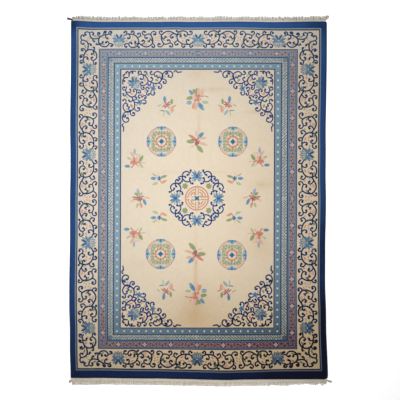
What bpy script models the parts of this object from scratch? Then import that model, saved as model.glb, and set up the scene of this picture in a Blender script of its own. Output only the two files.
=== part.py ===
"""A hand-knotted savonnerie rug that lies flat on the floor.

The woven pile is one flat solid with a slightly uneven outline. A wrapped
cord runs along each side, and each end has a narrow flat-woven strip whose
warp strands make the fringe. X runs across the rug, Y along it, Z up.
"""

import bisect
import math
import random

import bmesh
import bpy

# Driving dimensions, in metres
RUG_WIDTH = 2.50
PILE_LENGTH = 3.48
PILE_THICKNESS = 0.014
PILE_RIM = 0.004
CORD_DIAMETER = 0.009
CORD_PAST_PILE = 0.8  # share of the end strip that the cord runs along
GAP = 0.0004

# Pieces of the mesh along and across the pile
PILE_COLUMNS = 20
PILE_ROWS = 28
RIM_SEGMENTS = 2

# Flat-woven strip and warp strands at the two ends
STRANDS = 130
STRIP_THICKNESS = 0.004
STRIP_WIDTH = {"top": 0.012, "bottom": 0.017}
STRAND_LENGTH = {"top": 0.045, "bottom": 0.053}
STRAND_LENGTH_SPREAD = {"top": 0.22, "bottom": 0.08}
STRAND_FILL = 0.62  # share of the pitch that a strand's root takes
STRAND_JITTER = 0.0015
CLUMP = 3  # strands that lean together
CLUMP_PULL = {"top": 0.0040, "bottom": 0.0015}
LEAN = {"top": 0.006, "bottom": 0.003}
LEAN_WAVELENGTH = 0.47

# How far the outermost strands splay past the side of the rug: left, right
CORNER_SPLAY = {"top": (0.058, 0.042), "bottom": (0.037, 0.056)}
SPLAY_STRANDS = 1.6

# Share of the length, of the root's width and of the strip's thickness
STRAND_SECTIONS = (
    # along, width, height
    (0.36, 0.94, 1.00),
    (0.72, 0.80, 0.90),
    (1.00, 0.42, 0.60),
)

# Millimetres that each side bows out past its straight line, down the rug
SIDE_BOW = (
    # y, left, right
    (1.72, -9, 9),
    (1.50, -10, 9),
    (1.29, -9, 8),
    (1.08, -7, 5),
    (0.86, -3, 1),
    (0.65, -1, -3),
    (0.43, -5, -1),
    (0.21, -4, -4),
    (0.00, 0, 1),
    (-0.21, 0, -1),
    (-0.43, 0, -7),
    (-0.65, 5, -7),
    (-0.86, 8, -8),
    (-1.08, 8, 2),
    (-1.29, 1, 3),
    (-1.50, 2, 12),
    (-1.72, -6, 21),
)

# Millimetres that each end bows out past its straight line, across the rug
END_BOW = (
    # x, top, bottom
    (-1.21, 14, -7),
    (-1.07, 2, -6),
    (-0.94, -1, -8),
    (-0.80, -1, -5),
    (-0.53, 0, -2),
    (-0.39, -2, -2),
    (-0.25, 2, 3),
    (-0.12, -2, 4),
    (0.02, -1, 8),
    (0.29, 1, 14),
    (0.43, 2, 9),
    (0.70, -3, 7),
    (0.98, 0, 6),
    (1.11, 3, 6),
)

# Broad rises and hollows of the pile, which has been rolled and laid again
SWELLS = (
    # height, across the rug, along the rug, shift
    (0.0006, 1.05, 0.00, 0.4),
    (0.0005, 0.00, 0.84, 1.1),
    (0.0004, 0.71, 1.30, 2.3),
)

IVORY_WOOL = (0.660, 0.560, 0.410, 1.0)
NAVY_WOOL = (0.022, 0.055, 0.180, 1.0)
CREAM_COTTON = (0.560, 0.500, 0.400, 1.0)


def clear_scene():
    for old in list(bpy.data.objects):
        bpy.data.objects.remove(old, do_unlink=True)


def fibre_material(name, colour, roughness):
    material = bpy.data.materials.new(name)
    material.use_nodes = True
    shader = material.node_tree.nodes["Principled BSDF"]
    shader.inputs["Base Color"].default_value = colour
    shader.inputs["Roughness"].default_value = roughness
    shader.inputs["Metallic"].default_value = 0.0
    return material


def read_bow(table, place, column):
    """Straight-line reading of a bow table, in metres."""
    rows = sorted(table)
    if place <= rows[0][0]:
        return rows[0][column] / 1000.0
    if place >= rows[-1][0]:
        return rows[-1][column] / 1000.0
    after = bisect.bisect_right([row[0] for row in rows], place)
    low, high = rows[after - 1], rows[after]
    share = (place - low[0]) / (high[0] - low[0])
    return (low[column] + share * (high[column] - low[column])) / 1000.0


def pile_side(sign, y):
    """X of the pile's own edge, inside the wrapped cord. Sign -1 is left."""
    column = 1 if sign < 0 else 2
    outside = RUG_WIDTH / 2 + read_bow(SIDE_BOW, y, column)
    return sign * (outside - CORD_DIAMETER - GAP)


def pile_end(sign, x):
    """Y of the pile's end. Sign 1 is the top end."""
    column = 1 if sign > 0 else 2
    return sign * (PILE_LENGTH / 2 + read_bow(END_BOW, x, column))


def pile_point(across, along):
    """A point of the pile's plan from two shares, each 0 to 1."""
    straight_y = (along - 0.5) * PILE_LENGTH
    left = pile_side(-1, straight_y)
    right = pile_side(1, straight_y)
    x = left + across * (right - left)
    bottom = pile_end(-1, x)
    top = pile_end(1, x)
    return x, bottom + along * (top - bottom)


def end_line(sign, x):
    """Y of the pile's meshed end, which is straight between its columns."""
    along = 1.0 if sign > 0 else 0.0
    points = [pile_point(i / PILE_COLUMNS, along) for i in range(PILE_COLUMNS + 1)]
    xs = [point[0] for point in points]
    after = min(max(bisect.bisect_right(xs, x), 1), PILE_COLUMNS)
    low, high = points[after - 1], points[after]
    share = (x - low[0]) / (high[0] - low[0])
    return low[1] + share * (high[1] - low[1])


def swell(x, y):
    height = 0.0
    for rise, across, along, shift in SWELLS:
        wave = shift
        if across:
            wave += 2 * math.pi * x / across
        if along:
            wave += 2 * math.pi * y / along
        height += rise * math.sin(wave)
    return height


def object_from_bmesh(bm, name, material):
    mesh = bpy.data.meshes.new(name)
    bm.to_mesh(mesh)
    bm.free()
    mesh.materials.append(material)
    return bpy.data.objects.new(name, mesh)


def mark_top_rim(bm):
    """Give the rim of the pile's face full bevel weight."""
    weight = bm.edges.layers.float.new("bevel_weight_edge")
    for edge in bm.edges:
        if len(edge.link_faces) != 2:
            continue
        slopes = sorted(abs(face.normal.z) for face in edge.link_faces)
        height = min(vert.co.z for vert in edge.verts)
        if slopes[0] < 0.5 < slopes[1] and height > PILE_THICKNESS / 2:
            edge[weight] = 1.0


def build_pile():
    """The knotted pile: a flat slab with a soft rim and a level underside."""
    bm = bmesh.new()
    bmesh.ops.create_grid(bm, x_segments=PILE_COLUMNS, y_segments=PILE_ROWS, size=0.5)
    for vert in bm.verts:
        x, y = pile_point(vert.co.x + 0.5, vert.co.y + 0.5)
        vert.co = (x, y, 0.0)
    raised = bmesh.ops.extrude_face_region(bm, geom=bm.faces[:])["geom"]
    for part in raised:
        if isinstance(part, bmesh.types.BMVert):
            part.co.z = PILE_THICKNESS + swell(part.co.x, part.co.y)
    bmesh.ops.recalc_face_normals(bm, faces=bm.faces[:])
    underside = [face for face in bm.faces if face.normal.z < -0.99]
    bmesh.ops.dissolve_faces(bm, faces=underside)
    mark_top_rim(bm)

    pile = object_from_bmesh(bm, "rug_pile", fibre_material("ivory_wool_pile", IVORY_WOOL, 0.92))
    rim = pile.modifiers.new("Soft rim", "BEVEL")
    rim.limit_method = "WEIGHT"
    rim.width = PILE_RIM
    rim.segments = RIM_SEGMENTS
    return pile


def build_side_cord(name, sign, material):
    """The wrapped cord that finishes one side, on the floor beside the pile."""
    across = 0.0 if sign < 0 else 1.0
    radius = CORD_DIAMETER / 2
    route = [pile_point(across, row / PILE_ROWS) for row in range(PILE_ROWS + 1)]
    route = [(x + sign * (GAP + radius), y) for x, y in route]
    first, last = route[0], route[-1]
    route.insert(0, (first[0], first[1] - CORD_PAST_PILE * STRIP_WIDTH["bottom"]))
    route.append((last[0], last[1] + CORD_PAST_PILE * STRIP_WIDTH["top"]))

    curve = bpy.data.curves.new(name, "CURVE")
    curve.dimensions = "3D"
    curve.bevel_depth = radius
    curve.bevel_resolution = 2
    curve.use_fill_caps = True
    spline = curve.splines.new("POLY")
    spline.points.add(len(route) - 1)
    for point, (x, y) in zip(spline.points, route):
        point.co = (x, y, radius, 1.0)
    curve.materials.append(material)
    return bpy.data.objects.new(name, curve)


def strand_stations(sign):
    """X of every strand root's two edges along one end, with the strip's ends."""
    along = 1.0 if sign > 0 else 0.0
    left = pile_point(0.0, along)[0]
    right = pile_point(1.0, along)[0]
    pitch = (right - left) / STRANDS
    stations = [left]
    for number in range(STRANDS):
        middle = left + (number + 0.5) * pitch
        stations.append(middle - pitch * STRAND_FILL / 2)
        stations.append(middle + pitch * STRAND_FILL / 2)
    stations.append(right)
    return stations


def strand_shift(end, number, x, along, jitter):
    """Sideways way of a strand's middle line at a share of its length."""
    member = number % CLUMP - (CLUMP - 1) / 2
    clump = -member * CLUMP_PULL[end] * along
    lean = LEAN[end] * math.sin(2 * math.pi * x / LEAN_WAVELENGTH) * along
    left_splay, right_splay = CORNER_SPLAY[end]
    splay = -left_splay * math.exp(-number / SPLAY_STRANDS)
    splay += right_splay * math.exp(-(STRANDS - 1 - number) / SPLAY_STRANDS)
    return clump + lean + splay * along + jitter * along


def grow_strand(bm, root, end, sign, number, draw):
    """Pull one face of the strip out into a tapering warp strand."""
    middle = root.calc_center_median()
    root_half = max(abs(vert.co.x - middle.x) for vert in root.verts)
    spread = STRAND_LENGTH_SPREAD[end]
    length = STRAND_LENGTH[end] * (1.0 - spread * draw.random())
    jitters = [draw.uniform(-STRAND_JITTER, STRAND_JITTER) for _ in STRAND_SECTIONS]
    face = root
    for (along, width, height), jitter in zip(STRAND_SECTIONS, jitters):
        face = bmesh.ops.extrude_discrete_faces(bm, faces=[face])["faces"][0]
        centre_x = face.calc_center_median().x
        x = middle.x + strand_shift(end, number, middle.x, along, jitter)
        for vert in face.verts:
            side = 1.0 if vert.co.x > centre_x else -1.0
            lifted = vert.co.z > STRIP_THICKNESS / 4
            vert.co.x = x + side * root_half * width
            vert.co.y = middle.y + sign * length * along
            vert.co.z = STRIP_THICKNESS * height if lifted else 0.0


def build_fringe(name, end, sign, seed, material):
    """Flat-woven strip against the pile's end, with its row of warp strands."""
    stations = strand_stations(sign)
    cells = len(stations) - 1
    bm = bmesh.new()
    bmesh.ops.create_grid(bm, x_segments=cells, y_segments=1, size=0.5)
    for vert in bm.verts:
        x = stations[round((vert.co.x + 0.5) * cells)]
        outer = vert.co.y * sign > 0
        away = GAP + (STRIP_WIDTH[end] if outer else 0.0)
        vert.co = (x, end_line(sign, x) + sign * away, 0.0)
    raised = bmesh.ops.extrude_face_region(bm, geom=bm.faces[:])["geom"]
    for part in raised:
        if isinstance(part, bmesh.types.BMVert):
            part.co.z = STRIP_THICKNESS
    bmesh.ops.recalc_face_normals(bm, faces=bm.faces[:])

    roots = []
    for face in bm.faces:
        if face.normal.y * sign > 0.9:
            cell = bisect.bisect_right(stations, face.calc_center_median().x) - 1
            if cell % 2 == 1:
                roots.append(face)
    roots.sort(key=lambda face: face.calc_center_median().x)
    draw = random.Random(seed)
    for number, root in enumerate(roots):
        grow_strand(bm, root, end, sign, number, draw)
    bmesh.ops.recalc_face_normals(bm, faces=bm.faces[:])
    return object_from_bmesh(bm, name, material)


def stand_on_origin(pieces, collection):
    """Parent every piece to one empty and centre the whole rug over the origin."""
    bpy.context.view_layer.update()
    graph = bpy.context.evaluated_depsgraph_get()
    corners = []
    for piece in pieces:
        mesh = piece.evaluated_get(graph).to_mesh()
        corners.extend(piece.matrix_world @ vert.co for vert in mesh.vertices)
    xs = [corner.x for corner in corners]
    ys = [corner.y for corner in corners]
    zs = [corner.z for corner in corners]
    middle = bpy.data.objects.new("rug_origin", None)
    middle.location = (-(min(xs) + max(xs)) / 2, -(min(ys) + max(ys)) / 2, -min(zs))
    collection.objects.link(middle)
    for piece in pieces:
        piece.parent = middle
    bpy.context.view_layer.update()


def main():
    clear_scene()
    collection = bpy.data.collections.new("savonnerie_rug")
    bpy.context.scene.collection.children.link(collection)
    cord_wool = fibre_material("navy_wool_cord", NAVY_WOOL, 0.88)
    cotton = fibre_material("cream_cotton_warp", CREAM_COTTON, 0.90)
    pieces = [
        build_pile(),
        build_side_cord("side_cord_left", -1, cord_wool),
        build_side_cord("side_cord_right", 1, cord_wool),
        build_fringe("fringe_top", "top", 1, 11, cotton),
        build_fringe("fringe_bottom", "bottom", -1, 23, cotton),
    ]
    for piece in pieces:
        collection.objects.link(piece)
    stand_on_origin(pieces, collection)


main()
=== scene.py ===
"""Looks of the savonnerie rug: dyed and carved wool pile, wrapped side cords and warp fringe.

The pattern is drawn from small charts. A chart unit is about one centimetre,
the charts are placed in the plan of an ideal, straight rug, and lay() carries
that plan to the slightly uneven rug of the frame.
"""

import math
import random

import bpy
import numpy as np
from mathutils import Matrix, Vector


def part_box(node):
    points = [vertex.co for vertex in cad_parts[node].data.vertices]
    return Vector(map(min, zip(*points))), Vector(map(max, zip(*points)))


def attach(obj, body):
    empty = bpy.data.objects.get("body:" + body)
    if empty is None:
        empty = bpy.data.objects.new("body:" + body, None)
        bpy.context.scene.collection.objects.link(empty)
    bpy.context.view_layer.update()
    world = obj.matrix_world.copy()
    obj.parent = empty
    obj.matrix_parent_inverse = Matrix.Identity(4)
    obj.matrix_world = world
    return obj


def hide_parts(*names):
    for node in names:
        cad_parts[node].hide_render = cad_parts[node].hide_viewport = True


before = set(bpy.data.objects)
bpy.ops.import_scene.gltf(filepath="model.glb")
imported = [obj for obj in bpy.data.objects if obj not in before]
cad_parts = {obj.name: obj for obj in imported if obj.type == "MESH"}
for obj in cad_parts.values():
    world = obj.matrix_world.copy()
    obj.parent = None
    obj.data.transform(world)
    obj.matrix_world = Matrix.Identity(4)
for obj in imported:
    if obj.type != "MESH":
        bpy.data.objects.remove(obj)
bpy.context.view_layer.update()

# The ideal rug, in metres, as in the solids
RUG_WIDTH = 2.50
PILE_LENGTH = 3.48
PILE_THICKNESS = 0.014
CORD_DIAMETER = 0.009
GAP = 0.0004
HALF_WIDTH = RUG_WIDTH / 2
HALF_LENGTH = PILE_LENGTH / 2
PILE_HALF_WIDTH = HALF_WIDTH - CORD_DIAMETER - GAP

# Bands from the rug's outer edge inwards: width in millimetres and dye
BANDS = (
    (55, "navy"),
    (10, "pale_line"),
    (10, "edge_line"),
    (198, "ivory"),
    (8, "dark_line"),
    (7, "pale_line"),
    (64, "guard_blue"),
    (7, "pale_line"),
    (9, "dark_line"),
    (53, "guard_grey"),
    (8, "dark_line"),
    (6, "pale_line"),
    (42, "light_blue"),
    (6, "pale_line"),
    (10, "dark_line"),
)
BAND_ENDS = np.cumsum([width for width, dye in BANDS]) / 1000.0
BORDER = float(BAND_ENDS[-1])
FIELD_HALF_WIDTH = HALF_WIDTH - BORDER
FIELD_HALF_LENGTH = HALF_LENGTH - BORDER

# Where the field's four sides really lie
FIELD_LEFT = (-0.755, -0.746)  # x at the bottom and at the top
FIELD_RIGHT = (0.733, 0.745)
FIELD_BOTTOM = -1.242
FIELD_TOP = 1.2725
# Real place of a band's edge in the ends: ideal and real inset from the outer edge
TOP_INSET = ((0.075, 0.076),)
BOTTOM_INSETS = ((0.055, 0.069), (0.075, 0.092))

# Millimetres that each side bows out, down the rug: y, left, right
SIDE_BOW = (
    (1.72, -9, 9),
    (1.50, -10, 9),
    (1.29, -9, 8),
    (1.08, -7, 5),
    (0.86, -3, 1),
    (0.65, -1, -3),
    (0.43, -5, -1),
    (0.21, -4, -4),
    (0.00, 0, 1),
    (-0.21, 0, -1),
    (-0.43, 0, -7),
    (-0.65, 5, -7),
    (-0.86, 8, -8),
    (-1.08, 8, 2),
    (-1.29, 1, 3),
    (-1.50, 2, 12),
    (-1.72, -6, 21),
)

# Millimetres that each end bows out, across the rug: x, top, bottom
END_BOW = (
    (-1.21, 14, -7),
    (-1.07, 2, -6),
    (-0.94, -1, -8),
    (-0.80, -1, -5),
    (-0.53, 0, -2),
    (-0.39, -2, -2),
    (-0.25, 2, 3),
    (-0.12, -2, 4),
    (0.02, -1, 8),
    (0.29, 1, 14),
    (0.43, 2, 9),
    (0.70, -3, 7),
    (0.98, 0, 6),
    (1.11, 3, 6),
)
BOW_SOFTNESS = 0.05

# How far the right corners are rounded: 1 for the top or -1, radius
ROUNDED = ((1, 0.024), (-1, 0.030))

# Millimetres that the bands next to each end's plain band lie further in: x, top, bottom
LINE_SAG = (
    (-1.21, 9, 4),
    (-1.09, 6, 4),
    (-0.93, 1, 3),
    (-0.53, 0, 2),
    (0.20, 0, 0),
    (0.55, 2, 1),
    (0.76, 7, 8),
    (0.92, 8, 9),
    (1.08, 11, 10),
    (1.21, 12, 10),
)

# Broad rises of the pile: height, wavelength across and along, shift
SWELLS = (
    (0.0006, 1.05, 0.00, 0.4),
    (0.0005, 0.00, 0.84, 1.1),
    (0.0004, 0.71, 1.30, 2.3),
)

# Soft troughs and ridges left by folding: axis that they cross, place, depth, half width
CREASES = (
    ("x", -0.030, -0.0018, 0.014),
    ("x", 0.004, 0.0012, 0.020),
    ("y", 1.105, 0.0010, 0.030),
    ("y", 0.330, -0.0012, 0.026),
    ("y", 0.265, 0.0009, 0.030),
    ("y", -0.380, -0.0010, 0.030),
    ("y", -0.470, 0.0008, 0.034),
    ("y", -1.020, -0.0010, 0.040),
    ("y", -1.560, 0.0008, 0.034),
)

CELL = 0.014  # largest cell of the pile's mesh
RIM = 0.005
RIM_DROP = 0.55 * RIM  # how far the face falls at its very edge
# Loops that carry the rim down to the back: height, inset
RIM_LOOPS = ((PILE_THICKNESS * 0.45, 0.0), (0.0008, 0.0004), (0.0, 0.0015))
UNIT = 0.00977  # one chart unit
CARVE_TOP = 0.0008  # how far a carved figure stands over the ground
CARVE_ROOT = -0.0008
CARVE_EDGE = 0.0012
DISC_DOME = 0.0003
PETAL_DOME = 0.0004
PETAL_RISE = 0.00006  # of each petal over the one before it
INNER_RISE = 0.00025  # of a petal over its own outline
INNER_START, INNER_END = 0.06, 0.07  # how far inside its outline a petal starts and ends
INNER_LEAST = 0.55
THINNEST = 0.0003
OUTLINE = 0.5  # how much wider than its petal an outline is, in chart units

# Dyes: colour at the top end and at the bottom end, 0 to 255. The wool is paler at the top and deeper at
# the bottom: painted sheen up the rug and painted shade down it; the cotton is painted brighter at the
# bottom
DYES = {
    "navy": ((50, 100, 168), (4, 20, 66)),
    "scroll_navy": ((34, 84, 142), (4, 18, 46)),
    "corner_navy": ((32, 96, 172), (0, 6, 34)),
    "medallion_navy": ((12, 84, 150), (4, 56, 114)),
    "cord_navy": ((40, 78, 138), (10, 20, 50)),
    "pale_line": ((172, 188, 196), (104, 114, 128)),
    "edge_line": ((56, 60, 92), (30, 30, 50)),
    "dark_line": ((72, 80, 130), (32, 34, 68)),
    "ivory": ((243, 235, 222), (225, 199, 158)),
    "guard_blue": ((112, 176, 212), (16, 66, 102)),
    "guard_grey": ((164, 180, 192), (80, 92, 100)),
    "light_blue": ((174, 212, 230), (50, 78, 94)),
    "petal_dark": ((66, 118, 166), (34, 72, 114)),
    "petal_mid": ((126, 168, 198), (84, 122, 154)),
    "petal_pale": ((226, 222, 208), (134, 142, 136)),
    "lotus_line": ((140, 174, 200), (14, 26, 62)),
    "bright_blue": ((140, 184, 214), (58, 104, 144)),
    "pale_blue": ((184, 208, 222), (116, 150, 174)),
    "teal": ((74, 140, 168), (48, 108, 140)),
    "orange": ((254, 186, 130), (186, 104, 54)),
    "apricot": ((240, 192, 162), (196, 112, 76)),
    "coral": ((232, 172, 154), (182, 98, 80)),
    "rose": ((212, 150, 138), (160, 84, 74)),
    "plum": ((182, 142, 138), (122, 78, 78)),
    "peach": ((244, 210, 184), (210, 152, 118)),
    "pink": ((232, 206, 190), (222, 184, 162)),
    "green": ((184, 190, 144), (110, 126, 74)),
    "leaf_edge": ((160, 170, 130), (100, 116, 72)),
    "pale_green": ((210, 216, 182), (148, 164, 118)),
    "pearl": ((240, 238, 220), (228, 220, 194)),
    "vine": ((250, 252, 244), (212, 214, 190)),
    "tan": ((196, 176, 158), (142, 122, 98)),
    "sage": ((192, 198, 164), (152, 160, 122)),
    "russet": ((214, 162, 138), (198, 138, 110)),
    "cotton": ((240, 234, 222), (255, 247, 230)),
    # painted shade: cotton darkened for the shade under and between the strands
    "warp_tip": ((186, 176, 156), (232, 216, 190)),
    # painted light: the strip's cotton brightened against the pile's shade beside it
    "warp_end": ((254, 244, 230), (254, 244, 222)),
    "tuft": ((112, 100, 76), (150, 132, 100)),
    "back": ((196, 184, 166), (176, 160, 134)),
}
# The darker dye that outlines a petal of each dye
OUTLINES = {
    "orange": "coral",
    "apricot": "peach",
    "coral": "rose",
    "rose": "plum",
    "plum": "plum",
    "peach": "coral",
    "pink": "rose",
    "green": "leaf_edge",
    "pale_green": "green",
    "bright_blue": "petal_dark",
    "pale_blue": "petal_mid",
    "petal_pale": "petal_mid",
    "petal_mid": "petal_dark",
    "petal_dark": "scroll_navy",
    "teal": "petal_dark",
}
# The paler dye that a spray's petal fades to at its edge
EDGES = {
    "apricot": "peach",
    "coral": "peach",
    "rose": "coral",
    "plum": "rose",
    "peach": "pink",
    "pink": "ivory",
    "green": "pale_green",
    "pale_green": "pearl",
    "bright_blue": "pale_blue",
    "pale_blue": "petal_pale",
    "petal_mid": "petal_pale",
    "petal_dark": "petal_mid",
}
DYE_STRENGTH = 0.89  # dyes return this share of the light that their colours above would
# Cotton returns all the light of its colours: painted brighter against the shade of the pile beside the
# strip and between the strands
COTTON_STRENGTH = 1.0
# Painted sheen and shade up the rug: how far up its two colours a dye lies, from the rug's bottom end to
# its top end
SHEEN_AND_SHADE_UP = ((0.0, 0.02), (0.12, 0.14), (0.24, 0.38), (0.41, 0.49), (0.56, 0.51), (0.88, 0.60),
        (0.97, 0.86), (1.0, 1.0))
SHADE_ACROSS = -0.13  # painted shade: how much deeper a dye grows for each metre to the right
# The navy's painted shade to the right, which is weaker
NAVY_SHADE_ACROSS = -0.03
NAVY_LIFT = 0.06  # how much paler the navy is everywhere

# Painted shade on the navy, darker in its corners and down its right side, and stains of the ivory,
# which are partly painted shade in its creases and low on the rug: x, y, half width, half height,
# strength
NAVY_PAINTED_SHADE = (
    (1.18, 1.70, 0.60, 0.30, 0.38),
    (-1.24, 1.72, 0.14, 0.20, 0.45),
    (-1.20, -1.70, 0.30, 0.14, 0.15),
    (1.26, -0.42, 0.50, 0.78, 0.62),
    (1.26, -1.25, 0.60, 0.95, 1.05),
    (0.85, -1.76, 1.20, 0.40, 0.92),
    (-1.22, -1.30, 0.10, 0.40, 0.10),
)
# The ivory's stains, partly painted shade along its creases and low on the rug
IVORY_STAINS_AND_SHADE = (
    (-0.040, -0.66, 0.050, 0.70, 0.24),
    (-0.040, -1.10, 0.56, 0.50, 0.26),
    (-0.045, -1.02, 0.24, 0.42, 0.12),
    (-0.010, 0.72, 0.040, 0.55, 0.16),
    (-0.030, 1.24, 0.17, 0.12, 0.14),
    (0.140, 1.09, 0.28, 0.050, 0.20),
    (0.570, 0.87, 0.24, 0.040, 0.22),
    (0.600, 0.16, 0.24, 0.090, 0.22),
    (0.580, -0.40, 0.22, 0.30, 0.18),
    (-0.600, -0.62, 0.20, 0.12, 0.08),
    (0.000, 0.28, 0.85, 0.030, 0.12),
)
# The patches of a dye and the colour they turn to: painted shade on the navy, stains and painted shade
# on the ivory
PATCHES = {
    "ivory": (IVORY_STAINS_AND_SHADE, (204, 162, 108)),
    "navy": (NAVY_PAINTED_SHADE, (4, 12, 46)),
}

# Scroll from the middle between two flowers to the flower: along, outwards
UNIT_LENGTH = 43.0
SIDE_STEMS = (
    ((14.9, -4.0), (12.6, -5.0), (10.3, -5.5), (8.4, -4.4), (6.6, -1.0), (6.1, 2.5), (6.7, 4.6),
     (8.8, 6.7), (11.9, 8.2), (15.3, 7.9), (18.4, 6.3), (21.6, 4.0), (21.8, 1.3), (22.8, -1.3),
     (24.5, -3.3), (27.6, -5.0), (30.6, -5.5), (33.7, -5.5), (36.0, -4.6), (38.5, -2.7)),
    ((21.6, 4.0), (22.6, 6.3), (24.5, 8.1), (27.2, 8.8), (29.9, 8.5), (31.8, 7.3), (32.5, 5.5)),
)
SIDE_CURLS = (
    ((6.7, 4.4), (4.6, 5.9), (4.2, 7.8), (5.2, 8.9), (6.5, 8.2)),
    ((8.4, -4.4), (7.7, -6.7), (5.7, -8.2), (3.4, -7.8), (2.6, -6.0), (3.4, -4.5), (4.6, -5.2)),
    ((6.3, 3.3), (7.3, 1.1), (9.2, 0.8), (10.3, 2.5)),
    ((14.7, -4.0), (14.9, -2.2), (13.9, -0.8), (12.6, -1.3)),
    ((14.7, -4.0), (17.0, -5.2), (17.6, -7.1), (16.3, -8.6), (14.9, -7.7)),
    ((18.4, 5.9), (16.1, 4.4), (15.3, 2.5), (16.4, 0.8), (17.6, 1.9)),
    ((22.2, 5.2), (23.0, 7.5), (21.4, 8.6)),
    ((22.0, 4.4), (24.5, 5.0), (25.9, 4.2), (25.3, 2.9)),
    ((22.8, -1.5), (20.7, -2.5), (19.6, -4.4), (20.6, -6.6), (22.4, -5.5)),
    ((27.6, -5.0), (26.6, -6.3), (27.1, -8.2), (28.6, -8.9), (29.3, -7.7)),
    ((33.3, -5.5), (31.6, -4.4), (31.0, -2.1), (31.9, -0.4), (33.3, -1.1)),
    ((35.2, -5.2), (34.6, -7.5), (35.9, -8.8), (37.3, -7.3)),
    ((32.5, 5.5), (31.4, 3.4), (30.0, 3.2), (29.3, 4.6)),
    ((32.5, 5.5), (34.8, 4.6), (36.8, 6.2), (36.5, 8.3), (35.0, 8.2)),
)
# Leaves and petals of the scroll: along, outwards to along, outwards, width, dye
SIDE_LEAVES = (
    (7.0, 0.4, 10.2, -1.7, 1.5, "green"),
    (23.2, 6.9, 27.0, 6.2, 1.7, "green"),
    (19.4, 3.4, 22.0, 0.8, 1.1, "pale_green"),
    (3.0, 3.8, 6.0, 2.4, 1.5, "apricot"),
    (11.8, 5.8, 15.6, 5.4, 2.1, "pink"),
    (12.6, 3.4, 14.8, 2.0, 1.2, "peach"),
    (26.2, -1.3, 29.4, -3.4, 1.7, "apricot"),
    (28.4, 0.6, 30.4, 1.8, 1.3, "pink"),
    (2.4, -1.0, 4.4, -2.6, 1.5, "apricot"),
    (2.2, 1.6, 3.4, 0.4, 1.2, "pale_green"),
    (10.8, 3.4, 12.0, 0.8, 1.4, "plum"),
    (17.6, -2.0, 19.0, -4.0, 1.3, "pink"),
    (25.2, 2.0, 27.6, 0.6, 1.4, "peach"),
    (33.6, 2.4, 36.0, 1.0, 1.5, "pink"),
)

# Scroll round a corner, from the corner's middle towards the first flower
CORNER_LENGTH = 29.8
CORNER_STEMS = (
    ((23.8, 4.0), (21.2, 5.5), (18.5, 4.9), (15.8, 4.7), (12.7, 3.1), (10.8, 1.0), (10.3, -1.7),
     (10.8, -4.4), (12.7, -6.7), (15.4, -8.0), (18.5, -7.8), (20.4, -6.1), (21.2, -4.6)),
    ((10.8, 1.3), (7.8, 0.6), (4.7, 0.6), (2.4, 2.1), (1.3, 4.4), (0.9, 6.7)),
)
CORNER_CURLS = (
    ((21.2, 5.5), (20.9, 7.5), (22.5, 8.6), (24.0, 7.8), (23.3, 6.7)),
    ((15.8, 4.7), (15.7, 7.4), (17.1, 8.7), (18.4, 8.0), (17.4, 7.0)),
    ((18.3, 4.8), (17.5, 2.9), (18.0, 1.3), (19.3, 1.1)),
    ((21.2, -4.6), (20.2, -2.9), (18.6, -2.4), (18.0, -3.5)),
    ((21.2, -4.6), (23.1, -4.7), (24.9, -5.6), (24.8, -7.2), (23.5, -7.2)),
    ((11.0, -4.4), (13.0, -4.9), (14.4, -4.2), (14.7, -3.0)),
    ((11.2, -4.8), (9.8, -5.9), (8.2, -5.2)),
    ((12.7, 2.9), (10.4, 3.6), (9.3, 5.5), (9.8, 7.3), (11.3, 7.2), (11.2, 6.0)),
    ((0.9, 6.7), (2.4, 7.6), (4.0, 7.6), (5.2, 6.4), (4.6, 5.1)),
    ((0.9, 6.7), (-0.8, 7.8), (-2.8, 7.6), (-4.2, 6.3), (-3.3, 4.9)),
    ((4.3, 0.6), (4.3, -1.3), (5.6, -2.2)),
)
CORNER_LEAVES = (
    (5.4, 3.8, 9.2, 2.8, 1.8, "green"),
    (13.8, -4.9, 16.8, -6.3, 1.6, "green"),
    (13.8, 3.2, 16.4, 0.4, 1.9, "apricot"),
    (0.4, 1.6, 2.0, 0.2, 1.3, "pink"),
    (6.8, -2.6, 8.2, -4.0, 1.0, "peach"),
    (19.6, -0.8, 21.6, 0.8, 1.2, "pink"),
)

# Lotus flower: from along, outwards to along, outwards, width, dye
BORDER_LOTUS = (
    (1.0, 0.0, 6.3, 2.0, 2.6, "petal_mid"),
    (0.8, 0.8, 5.0, 4.8, 2.6, "petal_pale"),
    (1.2, -0.8, 5.8, -1.8, 2.6, "petal_mid"),
    (1.4, -1.2, 5.0, -4.8, 3.0, "petal_pale"),
    (0.9, -1.8, 2.9, -6.8, 3.0, "petal_pale"),
    (0.4, 0.4, 2.7, 6.0, 3.0, "petal_dark"),
    (0.9, -0.2, 3.4, -2.8, 2.0, "petal_mid"),
)
LOTUS_BUD = ((0.0, -1.0, 0.0, -7.4, 2.7, "petal_pale"),)
LOTUS_HEART = (
    (0.0, 1.2, 1.0, "lotus_line"), (0.0, -0.9, 0.9, "petal_mid"), (0.0, -3.9, 0.7, "lotus_line"),
)
LOTUS_OUTLINE = 1.1
LOTUS_EDGES = {"petal_pale": "lotus_line", "petal_mid": "lotus_line", "petal_dark": "lotus_line"}

MEDALLION_LOTUS = (
    (0.6, -1.0, 5.4, -4.6, 1.9, "pale_blue"),
    (0.8, -0.6, 6.0, -1.6, 1.8, "bright_blue"),
    (0.8, 0.0, 6.0, 1.8, 1.8, "pale_blue"),
    (0.6, 0.2, 4.8, 5.0, 1.9, "bright_blue"),
    (0.3, 0.4, 2.4, 6.2, 1.9, "petal_mid"),
    (0.2, -0.4, 2.6, -4.8, 1.6, "petal_mid"),
    (0.2, -0.8, 2.9, 2.0, 1.5, "teal"),
    (0.1, -0.4, 1.1, 3.6, 1.3, "petal_dark"),
)

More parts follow.
